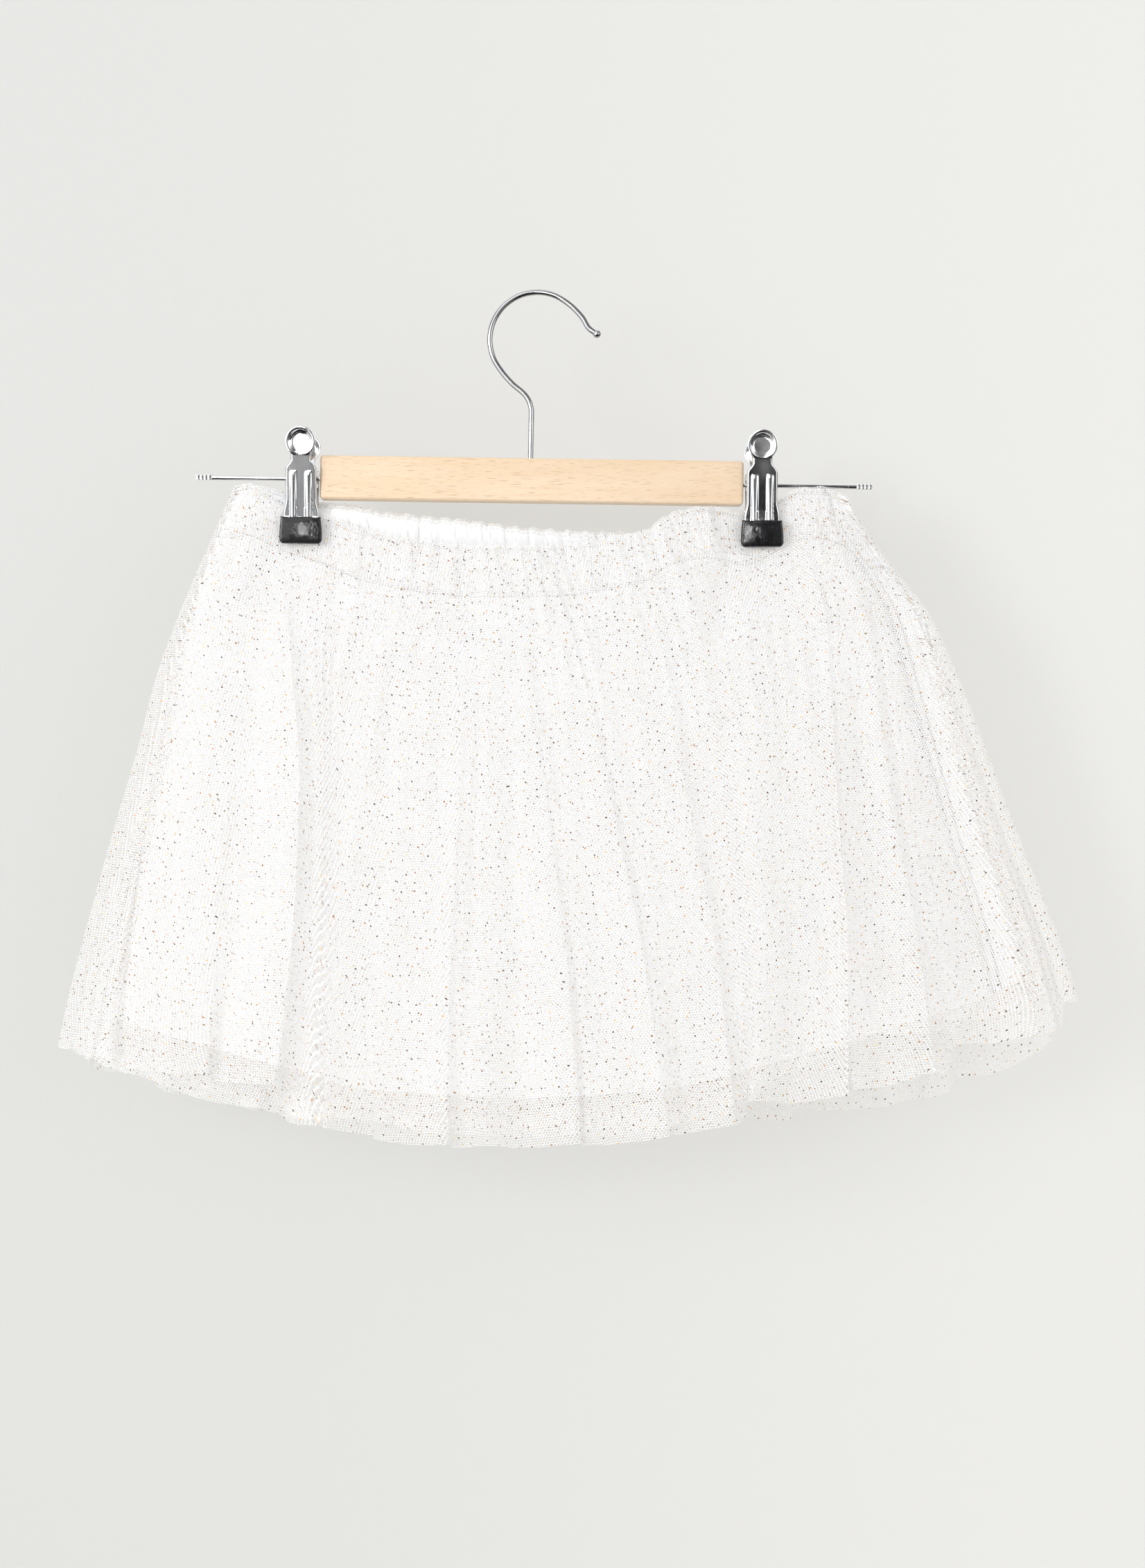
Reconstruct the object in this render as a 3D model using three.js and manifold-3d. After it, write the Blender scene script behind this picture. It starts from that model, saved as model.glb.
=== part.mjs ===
// A girl's short tulle skirt clipped to a wooden skirt hanger, hanging flat.
// Millimetres. +X runs along the hanger, -Y is the skirt's front, +Z is up.
// The origin is the inner crown of the hanger's hook, where a rail carries it.
import * as THREE from 'three';
import { mergeVertices } from 'three/addons/utils/BufferGeometryUtils.js';
import Module from 'manifold-3d';

const { clamp, lerp, smoothstep, degToRad } = THREE.MathUtils;

// ---- Driving sizes ----

const TILT = 0.0144; // the hanger hangs this far off level, in radians, right end lower
const GAP = 0.3; // between pieces that meet

const WIRE = { radius: 1.6, loop: 27.5, loopDrop: 25.9, ball: 2.3 };
const BAR = { length: 243.6, height: 25, depth: 12, x: -2.1, drop: 107.4, round: 1.5 };
const ROD = { radius: 1.4, length: 390, x: -0.8, drop: 108 };
const STEM = { x: -3, bottom: 104 };

const CLIPS = [
  { name: 'clip_left', x: -134.3, rise: -0.9, lean: 0 },
  { name: 'clip_right', x: 130.1, rise: 0.9, lean: -0.02 },
];
const PLATE = { thick: 1, toe: 5.7, toeHalf: 10.4, bodyHalf: 8.8, neckHalf: 5.9 };
const PLATE_SLOPE = { atRod: 9.1, flare: 0.19 }; // how far a plate stands out, and how that grows
const RING = { up: 20.4, radius: 8.5, from: 13.8, rows: 9 }; // a plate's round grip, above its neck
const EAR = { thick: 1, radius: 4.4, bore: 2.6, reach: 5 };
const CLIP_HALVES = [ // the back plate's ears pass between the front plate's
  { half: 'front', turn: 0, earX: 8.1 },
  { half: 'back', turn: Math.PI, earX: 6.7 },
];
const SPRING = { inner: 1.7, outer: 4, length: 9 };
const TIP = { top: -21.8, bottom: -37.2, half: 12.2, inner: 4.6, thick: 3.6, floor: 1.6, round: 2.5 };

const SEAM = 0.3; // between the front and back panels, and above and below the casing
const WALL = { tulle: 1, lining: 1, casing: 2 };
const CASING = { below: 2, height: 28, gap: 1.2 }; // under the tulle's top edge, and so on down
const CLIP_SPOTS = [-136.2, 128.6]; // where the jaws press the cloth flat
const JAW = { half: 17, fade: 17, drop: 160, fadeDrop: 46 };

// The outer tulle's outline at each height: its two sides, the radius of its side
// folds, and how far its middle stands off the centre plane.
const OUTLINE = [
  { drop: 105, left: -173.5, right: 178, edge: 3.75, middle: 5.2 },
  { drop: 125, left: -182.5, right: 184, edge: 3.75, middle: 6.4 },
  { drop: 146, left: -191.5, right: 197, edge: 3.75, middle: 7.6 },
  { drop: 185, left: -208, right: 226.6, edge: 5.6, middle: 12 },
  { drop: 221, left: -221, right: 243, edge: 6.8, middle: 18 },
  { drop: 265, left: -232.5, right: 260, edge: 8, middle: 24 },
  { drop: 309, left: -245.5, right: 276.6, edge: 9, middle: 29 },
  { drop: 374, left: -263.5, right: 302, edge: 10, middle: 36 },
  { drop: 414, left: -273.5, right: 314, edge: 10.6, middle: 40 },
  { drop: 495, left: -288, right: 336, edge: 11, middle: 45 },
];

// How far each layer stays inside that outline, at the sides and at the middle.
const OUTER_INSET = [
  { drop: 105, side: 0, middle: 0 },
  { drop: 495, side: 0, middle: 0 },
];
const CASING_INSET = [
  { drop: 105, side: 2.6, middle: 1.7 },
  { drop: 495, side: 2.6, middle: 1.7 },
];
const INNER_INSET = [
  { drop: 105, side: 1.3, middle: 1.3 },
  { drop: 146, side: 1.8, middle: 2.2 },
  { drop: 185, side: 5, middle: 4.3 },
  { drop: 265, side: 9, middle: 7 },
  { drop: 414, side: 16, middle: 14 },
  { drop: 495, side: 17, middle: 17 },
];
const LINING_INSET = [
  { drop: 105, side: 2.6, middle: 2.6 },
  { drop: 146, side: 4, middle: 4.2 },
  { drop: 185, side: 10.5, middle: 7.2 },
  { drop: 265, side: 17, middle: 12 },
  { drop: 398, side: 28, middle: 20 },
  { drop: 495, side: 31, middle: 24 },
];
// Top edges: the front droops between the clips, the back hangs behind the bar.
const FRONT_TOP = [
  { x: -175.8, drop: 110 },
  { x: -166, drop: 109 },
  { x: -157, drop: 113 },
  { x: -146, drop: 118.5 },
  { x: -126, drop: 124.5 },
  { x: -101.5, drop: 135 },
  { x: -69, drop: 141.6 },
  { x: -35, drop: 145 },
  { x: 12, drop: 144.5 },
  { x: 38, drop: 141 },
  { x: 60, drop: 136.5 },
  { x: 77, drop: 126 },
  { x: 92, drop: 122.8 },
  { x: 104, drop: 122.6 },
  { x: 118, drop: 126 },
  { x: 130, drop: 122 },
  { x: 141, drop: 116 },
  { x: 150, drop: 111.6 },
  { x: 164, drop: 111.2 },
  { x: 173, drop: 113.4 },
  { x: 181, drop: 119 },
  { x: 185.8, drop: 127.6 },
];
const BACK_TOP = [
  { x: -175.8, drop: 110 },
  { x: -166, drop: 108.6 },
  { x: -147, drop: 112.4 },
  { x: -126.7, drop: 118.6 },
  { x: -106.6, drop: 120 },
  { x: -88, drop: 124 },
  { x: -38.5, drop: 129 },
  { x: -9, drop: 133 },
  { x: 47, drop: 135.7 },
  { x: 90, drop: 131 },
  { x: 118, drop: 124 },
  { x: 130, drop: 121 },
  { x: 150, drop: 114 },
  { x: 171, drop: 114.5 },
  { x: 181, drop: 120 },
  { x: 185.8, drop: 127.6 },
];

// Hems. For the outer tulle, top is where that line of cloth starts along the top
// edge, and bow is how far it swings to the right halfway down.
const OUTER_FRONT_HEM = [
  { x: -277, drop: 434, top: -175.8, bow: 0 },
  { x: -265, drop: 437, top: -171.2, bow: 0 },
  { x: -250, drop: 441, top: -169.5, bow: -4 },
  { x: -222, drop: 446, top: -167, bow: -10 },
  { x: -183, drop: 451, top: -158, bow: 14 },
  { x: -164, drop: 456, top: -152, bow: 20 },
  { x: -138, drop: 474, top: -138, bow: 18 },
  { x: -126, drop: 476, top: -98, bow: -4 },
  { x: -95, drop: 479, top: -60, bow: -8 },
  { x: -69, drop: 485, top: -47, bow: -6 },
  { x: -49, drop: 486, top: -36, bow: -3 },
  { x: 33, drop: 485, top: -22, bow: 10 },
  { x: 79, drop: 478, top: 11, bow: 9 },
  { x: 114, drop: 472, top: 58, bow: 9 },
  { x: 128, drop: 463, top: 96, bow: 8 },
  { x: 138, drop: 462, top: 117, bow: 8 },
  { x: 188, drop: 456, top: 166, bow: -17 },
  { x: 210, drop: 448, top: 172, bow: -10 },
  { x: 231, drop: 446, top: 175.5, bow: -6 },
  { x: 243, drop: 434, top: 177, bow: -4 },
  { x: 279, drop: 427, top: 179.6, bow: 0 },
  { x: 302, drop: 422, top: 181.4, bow: 0 },
  { x: 314, drop: 407, top: 185.8, bow: 0 },
];
const OUTER_BACK_HEM = [
  { x: -277, drop: 434, top: -175.8, bow: 0 },
  { x: -263, drop: 447, top: -171.2, bow: 0 },
  { x: -230, drop: 461, top: -163, bow: -6 },
  { x: -170, drop: 476, top: -138, bow: 8 },
  { x: -80, drop: 488, top: -66, bow: -5 },
  { x: 30, drop: 491, top: -8, bow: 6 },
  { x: 124, drop: 484, top: 72, bow: 8 },
  { x: 167, drop: 481, top: 126, bow: 4 },
  { x: 205, drop: 474, top: 152, bow: -6 },
  { x: 243, drop: 465, top: 168, bow: -6 },
  { x: 271, drop: 452, top: 176, bow: 0 },
  { x: 300, drop: 432, top: 181.2, bow: 0 },
  { x: 314, drop: 407, top: 185.8, bow: 0 },
];
const INNER_HEM = [
  { x: -262, drop: 440 },
  { x: -225, drop: 452 },
  { x: -188, drop: 463 },
  { x: -136, drop: 473 },
  { x: -97, drop: 474 },
  { x: -44, drop: 482 },
  { x: 20, drop: 482 },
  { x: 64, drop: 479 },
  { x: 100, drop: 468 },
  { x: 135, drop: 451 },
  { x: 175, drop: 433 },
  { x: 232, drop: 422 },
  { x: 272, drop: 413 },
  { x: 296, drop: 404 },
];
const LINING_HEM = [
  { x: -246, drop: 417 },
  { x: -200, drop: 430 },
  { x: -142, drop: 444 },
  { x: -95, drop: 456 },
  { x: 0, drop: 460 },
  { x: 72, drop: 455 },
  { x: 140, drop: 439 },
  { x: 203, drop: 421 },
  { x: 236, drop: 412 },
  { x: 281, drop: 395 },
];

// Hanging folds, by the place of their crest along the hem. lap leans a crest to the
// right, so that it lies over the next hollow. from is how far down it starts.
const OUTER_FRONT_FOLDS = [
  { x: -250, width: 15, depth: 9, lap: 0, from: 0.1 },
  { x: -203, width: 12, depth: 10, lap: 6, from: 0.05 },
  { x: -163, width: 13, depth: 15, lap: 17, from: 0 },
  { x: -111, width: 10, depth: 9, lap: -4, from: 0.1 },
  { x: -78, width: 11, depth: 10, lap: -9, from: 0.05 },
  { x: -60, width: 8, depth: 8, lap: 7, from: 0.05 },
  { x: -22, width: 14, depth: 7, lap: 0, from: 0.3 },
  { x: 10, width: 13, depth: 9, lap: 8, from: 0.1 },
  { x: 56, width: 13, depth: 11, lap: 10, from: 0 },
  { x: 97, width: 11, depth: 9, lap: 8, from: 0.05 },
  { x: 129, width: 9, depth: 12, lap: -9, from: 0.1 },
  { x: 166, width: 12, depth: 10, lap: 8, from: 0.05 },
  { x: 210, width: 12, depth: 10, lap: 7, from: 0.1 },
  { x: 250, width: 10, depth: 11, lap: -8, from: 0.15 },
  { x: 281, width: 10, depth: 7, lap: 0, from: 0.3 },
];
const OUTER_BACK_FOLDS = [
  { x: -240, width: 14, depth: 9, lap: 4, from: 0.1 },
  { x: -196, width: 13, depth: 11, lap: 9, from: 0 },
  { x: -152, width: 12, depth: 9, lap: -4, from: 0.1 },
  { x: -104, width: 14, depth: 13, lap: 13, from: 0.05 },
  { x: -58, width: 12, depth: 9, lap: 0, from: 0.15 },
  { x: -14, width: 13, depth: 12, lap: -10, from: 0 },
  { x: 34, width: 12, depth: 9, lap: 4, from: 0.2 },
  { x: 78, width: 13, depth: 12, lap: 11, from: 0 },
  { x: 122, width: 11, depth: 9, lap: -5, from: 0.1 },
  { x: 168, width: 13, depth: 11, lap: -9, from: 0.05 },
  { x: 214, width: 12, depth: 9, lap: 5, from: 0.1 },
  { x: 256, width: 12, depth: 9, lap: 0, from: 0.2 },
];
const INNER_FOLDS = [
  { x: -222, width: 16, depth: 5, lap: 0, from: 0.2 },
  { x: -160, width: 17, depth: 6, lap: 5, from: 0.1 },
  { x: -104, width: 16, depth: 5, lap: 0, from: 0.3 },
  { x: -44, width: 17, depth: 6, lap: -5, from: 0.1 },
  { x: 18, width: 16, depth: 5, lap: 0, from: 0.2 },
  { x: 76, width: 17, depth: 6, lap: 5, from: 0.1 },
  { x: 138, width: 16, depth: 5, lap: 0, from: 0.2 },
  { x: 196, width: 16, depth: 6, lap: -5, from: 0.1 },
  { x: 246, width: 14, depth: 4, lap: 0, from: 0.3 },
];
const LINING_FOLDS = [
  { x: -150, width: 30, depth: 3, lap: 0, from: 0.3 },
  { x: -40, width: 34, depth: 3, lap: 0, from: 0.3 },
  { x: 70, width: 32, depth: 3, lap: 0, from: 0.3 },
  { x: 180, width: 28, depth: 3, lap: 0, from: 0.3 },
];

// Gathers drawn in by the elastic: their height along the top edge.
const GATHERS = [
  { x: -176, height: 1.2 },
  { x: -100, height: 1.6 },
  { x: 40, height: 1.9 },
  { x: 92, height: 3.2 },
  { x: 112, height: 2.4 },
  { x: 150, height: 2.6 },
  { x: 186, height: 1.1 },
];
const GATHER_COUNT = 24; // across the front, and as many across the back
const WAIST_WIDTH = 361; // of the top edge, laid flat

// ---- Curves through the tables ----

/** A monotone cubic through the rows: gives column `to` at a value of column `from`. */
function curve(rows, from, to) {
  const x = rows.map((row) => row[from]);
  const y = rows.map((row) => row[to]);
  const slope = x.slice(1).map((next, i) => (y[i + 1] - y[i]) / (next - x[i]));
  const tangent = x.map((_, i) => {
    const before = slope[i - 1] ?? slope[i];
    const after = slope[i] ?? slope[i - 1];
    return before * after <= 0 ? 0 : (2 * before * after) / (before + after);
  });
  return (at) => {
    let i = x.length - 2;
    while (i > 0 && at < x[i]) i -= 1;
    const span = x[i + 1] - x[i];
    const t = clamp((at - x[i]) / span, 0, 1);
    const s = 1 - t;
    const start = y[i] * (1 + 2 * t) + tangent[i] * span * t;
    const end = y[i + 1] * (1 + 2 * s) - tangent[i + 1] * span * s;
    return start * s * s + end * t * t;
  };
}

/** Reads every column of a table against its first named column. */
function table(rows, from) {
  const columns = Object.keys(rows[0]).filter((name) => name !== from);
  return Object.fromEntries(columns.map((name) => [name, curve(rows, from, name)]));
}

// ---- The cloth's form ----
// A layer is a flattened tube: two side folds of radius `edge`, and between them a
// front and a back that stand off the centre plane, most at the middle.

const outline = table(OUTLINE, 'drop');

function layer(inset, share) {
  const inside = table(inset, 'drop');
  return {
    left: (drop) => outline.left(drop) + inside.side(drop),
    right: (drop) => outline.right(drop) - inside.side(drop),
    edge: (drop) => outline.edge(drop) * share,
    middle: (drop) => outline.middle(drop) - inside.middle(drop),
  };
}

const LAYERS = {
  outer: layer(OUTER_INSET, 1),
  casing: layer(CASING_INSET, 0.6),
  inner: layer(INNER_INSET, 0.62),
  lining: layer(LINING_INSET, 0.3),
};

/** 1 where a clip's jaws hold the cloth flat, falling to 0 around them. */
function pinch(x, drop) {
  const nearest = Math.min(...CLIP_SPOTS.map((spot) => Math.abs(x - spot)));
  const beside = 1 - smoothstep(nearest, JAW.half, JAW.half + JAW.fade);
  return beside * (1 - smoothstep(drop, JAW.drop, JAW.drop + JAW.fadeDrop));
}

/** How far a layer's smooth form stands off the centre plane. */
function standOff(form, x, drop) {
  const edge = form.edge(drop);
  const inward = Math.min(x - form.left(drop), form.right(drop) - x);
  const round = Math.sqrt(edge ** 2 - (edge - clamp(inward, 0, edge)) ** 2);
  const half = (form.right(drop) - form.left(drop)) / 2 - edge;
  const lens = 1 - (1 - clamp((inward - edge) / half, 0, 1)) ** 2;
  return SEAM / 2 + round + (form.middle(drop) - edge) * lens * (1 - pinch(x, drop));
}

const gatherHeight = curve(GATHERS, 'x', 'height');

/** A gather's height at a place along the top edge, fading down the cloth. */
function gather(topX, v, phase) {
  const turns = (topX / WAIST_WIDTH) * GATHER_COUNT + phase;
  const wobble = 0.35 * Math.sin(topX * 0.11 + phase) + 0.25 * Math.sin(topX * 0.047);
  const wave = 0.5 + 0.5 * Math.cos(2 * Math.PI * (turns + wobble));
  return gatherHeight(topX) * wave ** 1.4 * (1 - smoothstep(v, 0.1, 0.5));
}

/** What the hanging folds add at a place along the hem: outwards, and along the hem. */
function foldAt(folds, hemX, v) {
  let out = 0;
  let along = 0;
  for (const fold of folds) {
    const bell = Math.exp(-(((hemX - fold.x) / fold.width) ** 2));
    const grown = clamp((v - fold.from) / (1 - fold.from), 0, 1) ** 0.9;
    out += fold.depth * bell * grown;
    along += fold.lap * bell * grown;
  }
  return { out, along };
}

const EDGE_FADE = 14; // mm in from a side fold over which hanging folds reach their depth
const SHARE = { low: 0.004, high: 0.876, drift: 0.12 }; // the panel's share open to each line

/**
 * One side of one layer. A line of cloth runs down from each place, 0 to 1 along the
 * hem; v is 0 at its top and 1 at its hem. With a height the panel is a level strip.
 */
function panel({ side, form, top, hem, folds = [], phase = null, shift = 0, height = null }) {
  const topDrop = curve(top, 'x', 'drop');
  const { drop: hemDrop, top: hemTop, bow } = table(hem, 'x');
  const ends = [hem[0].x, hem[hem.length - 1].x];
  const near = (drop) => form.left(drop) + form.edge(drop); // where the left side fold ends
  const far = (drop) => form.right(drop) - form.edge(drop);
  const across = (drop, t) => lerp(near(drop), far(drop), t);
  /** The inverse of across, kept inside the side folds and rising with place. */
  const fraction = (x, drop, place) => {
    const share = (x - near(drop)) / (far(drop) - near(drop));
    return clamp(share, SHARE.low + SHARE.drift * place, SHARE.high + SHARE.drift * place);
  };

  /** The height of a line of cloth where it is `under` mm below the top edge. */
  const dropUnder = (t, under) => {
    let drop = top[0].drop;
    for (let pass = 0; pass < 6; pass += 1) drop = topDrop(across(drop, t)) + under;
    return drop;
  };

  const lineAt = (place) => {
    const hemX = lerp(...ends, place);
    const tHem = height === null ? fraction(hemX, hemDrop(hemX), place) : place;
    const topX = hemTop ? hemTop(hemX) : across(dropUnder(tHem, 0), tHem);
    const tTop = hemTop ? fraction(topX, topDrop(topX), place) : tHem;
    const start = hemTop ? topDrop(topX) : dropUnder(tTop, shift);
    const end = height === null ? hemDrop(hemX) : dropUnder(tHem, shift + height);
    return { hemX, topX, tTop, tHem, start, end };
  };

  const point = ({ place, angle = null }, v) => {
    const { hemX, topX, tTop, tHem, start, end } = lineAt(place);
    const drop = lerp(start, end, v);
    const edge = form.edge(drop);
    if (angle !== null) {
      const inward = edge * (1 - Math.cos(angle));
      const x = place === 0 ? form.left(drop) + inward : form.right(drop) - inward;
      return new THREE.Vector3(x, side * (SEAM / 2 + edge * Math.sin(angle)), -drop);
    }
    let x = across(drop, lerp(tTop, tHem, v ** 0.8)) + (bow ? bow(hemX) * 4 * v * (1 - v) : 0);
    const inward = Math.min(x - form.left(drop), form.right(drop) - x);
    const free = (1 - pinch(x, drop)) * smoothstep(inward, edge, edge + EDGE_FADE);
    const { out, along } = foldAt(folds, hemX, v);
    x += along * free;
    const gathered = phase === null ? 0 : gather(topX, v, phase);
    return new THREE.Vector3(x, side * (standOff(form, x, drop) + (out + gathered) * free), -drop);
  };
  return { side, ends, lineAt, point };
}

const CORNER_ANGLES = [0, 22.5, 45, 67.5, 90].map(degToRad); // round a side fold
const CORNER_REACH = 13; // mm of hem that a side fold takes

/** A panel's columns: round each side fold, then even along hem and top edge together. */
function columnsOf({ ends, lineAt }, count) {
  const [first, last] = ends;
  const topSpan = lineAt(1).topX - lineAt(0).topX;
  const even = (place) => (place + (lineAt(place).topX - lineAt(0).topX) / topSpan) / 2;
  const columns = CORNER_ANGLES.map((angle) => ({ place: 0, angle }));
  const margin = CORNER_REACH / (last - first);
  for (let k = 1; k < count; k += 1) {
    let low = 0;
    let high = 1;
    for (let step = 0; step < 30; step += 1) {
      const middle = (low + high) / 2;
      if (even(middle) < k / count) low = middle;
      else high = middle;
    }
    if (low > margin && low < 1 - margin) columns.push({ place: low });
  }
  columns.push(...CORNER_ANGLES.map((angle) => ({ place: 1, angle })).reverse());
  return columns;
}

/** A closed wall of cloth: a panel's outer surface, thickened inwards. */
function wall(surface, columnCount, rows, thickness) {
  const { side, point } = surface;
  const columns = columnsOf(surface, columnCount);
  const wide = columns.length;
  const tall = rows.length;
  const outer = columns.map((column) => rows.map((v) => point(column, v)));

  const normalAt = (i, j) => {
    const { place, angle = null } = columns[i];
    if (angle !== null) {
      const sideways = place === 0 ? -Math.cos(angle) : Math.cos(angle);
      return new THREE.Vector3(sideways, side * Math.sin(angle), 0);
    }
    const along = outer[i + 1][j].clone().sub(outer[i - 1][j]);
    const fall = outer[i][Math.min(j + 1, tall - 1)].clone().sub(outer[i][Math.max(j - 1, 0)]);
    return along.cross(fall).multiplyScalar(side).normalize();
  };

  const positions = [];
  outer.forEach((column) => column.forEach((p) => positions.push(p.x, p.y, p.z)));
  outer.forEach((column, i) => column.forEach((p, j) => {
    const inner = p.clone().addScaledVector(normalAt(i, j), -thickness);
    positions.push(inner.x, side * Math.max(side * inner.y, SEAM / 2), inner.z);
  }));

  const at = (i, j, inside) => (inside ? wide * tall : 0) + i * tall + j;
  const index = [];
  const quad = (a, b, c, d) => {
    if (side < 0) index.push(a, b, c, a, c, d);
    else index.push(a, c, b, a, d, c);
  };
  for (let i = 0; i < wide - 1; i += 1) {
    for (let j = 0; j < tall - 1; j += 1) {
      quad(at(i, j), at(i, j + 1), at(i + 1, j + 1), at(i + 1, j));
      quad(at(i, j, 1), at(i + 1, j, 1), at(i + 1, j + 1, 1), at(i, j + 1, 1));
    }
    quad(at(i, 0), at(i + 1, 0), at(i + 1, 0, 1), at(i, 0, 1));
    quad(at(i, tall - 1), at(i, tall - 1, 1), at(i + 1, tall - 1, 1), at(i + 1, tall - 1));
  }
  for (let j = 0; j < tall - 1; j += 1) {
    quad(at(0, j), at(0, j, 1), at(0, j + 1, 1), at(0, j + 1));
    quad(at(wide - 1, j), at(wide - 1, j + 1), at(wide - 1, j + 1, 1), at(wide - 1, j, 1));
  }
  const geometry = new THREE.BufferGeometry();
  geometry.setAttribute('position', new THREE.Float32BufferAttribute(positions, 3));
  geometry.setIndex(index);
  geometry.computeVertexNormals();
  return geometry;
}

// ---- Materials ----

const finish = (color, roughness, metalness = 0) =>
  new THREE.MeshStandardMaterial({ color, roughness, metalness });
const MATERIAL = {
  tulle: finish(0xf3ebe4, 0.85),
  cotton: finish(0xf8f6f3, 0.9),
  beech: finish(0xf9dbac, 0.45),
  chrome: finish(0xc9ccd0, 0.12, 1),
  vinyl: finish(0x141516, 0.22),
};

function piece(name, geometry, material) {
  const mesh = new THREE.Mesh(geometry, material);
  mesh.name = name;
  return mesh;
}

// ---- The skirt ----

// Rows of points down each layer, 0 at its top and 1 at its hem, closer under the jaws.
const OUTER_ROWS = [0, 0.1, 0.19, 0.33, 0.54, 0.77, 1];
const SEWN_ROWS = [0, 0.07, 0.2, 0.5, 1];
const CASING_ROWS = [0, 0.5, 1];

function skirt() {
  const group = new THREE.Group();
  const shift = CASING.below + CASING.height + CASING.gap; // where the sewn-on layers start
  const strip = { shift: CASING.below, height: CASING.height };
  const sides = [
    { name: 'front', side: -1, top: FRONT_TOP, hem: OUTER_FRONT_HEM, folds: OUTER_FRONT_FOLDS },
    { name: 'back', side: 1, top: BACK_TOP, hem: OUTER_BACK_HEM, folds: OUTER_BACK_FOLDS },
  ];
  for (const { name, side, top, hem, folds } of sides) {
    const phase = side < 0 ? 0.15 : 0.6;
    const add = (layerName, form, columns, rows, thickness, material) => {
      const surface = panel({ side, top, ...form });
      group.add(piece(`${layerName}_${name}`, wall(surface, columns, rows, thickness), material));
    };
    const { outer, inner, lining, casing } = LAYERS;
    const { tulle, cotton } = MATERIAL;
    add('tulle_outer', { form: outer, hem, folds, phase }, 112, OUTER_ROWS, WALL.tulle, tulle);
    const under = { form: inner, hem: INNER_HEM, folds: INNER_FOLDS, shift };
    add('tulle_inner', under, 50, SEWN_ROWS, WALL.tulle, tulle);
    const lined = { form: lining, hem: LINING_HEM, folds: LINING_FOLDS, shift };
    add('lining', lined, 36, SEWN_ROWS, WALL.lining, cotton);
    const band = { form: casing, hem: INNER_HEM, ...strip };
    add('waistband', band, 56, CASING_ROWS, WALL.casing, cotton);
  }
  return group;
}

// ---- The hanger ----

const wasm = await Module();
wasm.setup();

function toSolid(geometry) {
  const bare = geometry.clone();
  bare.deleteAttribute('normal');
  bare.deleteAttribute('uv');
  const merged = mergeVertices(bare, 1e-4);
  return new wasm.Manifold(new wasm.Mesh({
    numProp: 3,
    vertProperties: new Float32Array(merged.attributes.position.array),
    triVerts: new Uint32Array(merged.index.array),
  }));
}

function toGeometry(solid) {
  const mesh = solid.getMesh();
  const geometry = new THREE.BufferGeometry();
  geometry.setAttribute('position', new THREE.BufferAttribute(mesh.vertProperties, 3));
  geometry.setIndex(new THREE.BufferAttribute(mesh.triVerts, 1));
  geometry.computeVertexNormals();
  return geometry;
}

/** Stands an extrusion drawn in (y, z) along X, centred on x. */
function alongX(shape, length, x = 0) {
  const cut = { depth: length, bevelEnabled: false, curveSegments: 8 };
  const geometry = new THREE.ExtrudeGeometry(shape, cut);
  geometry.rotateX(Math.PI / 2);
  geometry.rotateZ(Math.PI / 2);
  geometry.translate(x - length / 2, 0, 0);
  return geometry;
}

function roundedRectangle(width, height, radius) {
  const w = width / 2;
  const h = height / 2;
  const shape = new THREE.Shape();
  shape.absarc(w - radius, h - radius, radius, 0, Math.PI / 2);
  shape.absarc(-w + radius, h - radius, radius, Math.PI / 2, Math.PI);
  shape.absarc(-w + radius, -h + radius, radius, Math.PI, Math.PI * 1.5);
  shape.absarc(w - radius, -h + radius, radius, Math.PI * 1.5, Math.PI * 2);
  shape.closePath();
  return shape;
}

function circleHole(radius, x = 0, y = 0) {
  return new THREE.Path().absarc(x, y, radius, 0, 2 * Math.PI, true);
}

function bar() {
  const section = roundedRectangle(BAR.depth, BAR.height, BAR.round);
  section.holes.push(circleHole(ROD.radius + GAP, 0, BAR.drop - ROD.drop));
  const block = alongX(section, BAR.length, BAR.x);
  const socketBottom = STEM.bottom + GAP;
  const barTop = BAR.drop - BAR.height / 2;
  const depth = socketBottom - barTop + 2;
  const socket = new THREE.CylinderGeometry(WIRE.radius + GAP, WIRE.radius + GAP, depth, 16);
  socket.rotateX(Math.PI / 2);
  socket.translate(STEM.x, 0, BAR.drop - socketBottom + depth / 2);
  const cut = toGeometry(toSolid(block).subtract(toSolid(socket)));
  cut.translate(0, 0, -BAR.drop);
  return cut;
}

function hook() {
  const onLoop = (degrees) => {
    const angle = degToRad(degrees);
    return [WIRE.loop * Math.cos(angle), -WIRE.loopDrop + WIRE.loop * Math.sin(angle)];
  };
  const route = [
    [34.2, -22], [29.4, -18.6], [25.6, -12.6], // the upturned end
    ...[48, 70, 90, 112, 135, 158, 180, 202, 220].map(onLoop),
    [-14.6, -51], [-6.2, -58.4], [-3.3, -64.6], [STEM.x, -76], [STEM.x, -90], [STEM.x, -STEM.bottom],
  ];
  const path = new THREE.CatmullRomCurve3(
    route.map(([x, z]) => new THREE.Vector3(x, 0, z)), false, 'centripetal',
  );
  const circle = new THREE.Shape().absarc(0, 0, WIRE.radius, 0, 2 * Math.PI);
  const wire = new THREE.ExtrudeGeometry(circle, { steps: 44, extrudePath: path, curveSegments: 5 });
  const ball = new THREE.SphereGeometry(WIRE.ball, 12, 8);
  ball.translate(route[0][0], 0, route[0][1]);
  return toGeometry(toSolid(wire).add(toSolid(ball)));
}

function rod() {
  const geometry = new THREE.CylinderGeometry(ROD.radius, ROD.radius, ROD.length, 14);
  geometry.rotateZ(Math.PI / 2);
  geometry.translate(ROD.x, 0, -ROD.drop);
  return geometry;
}

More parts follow.
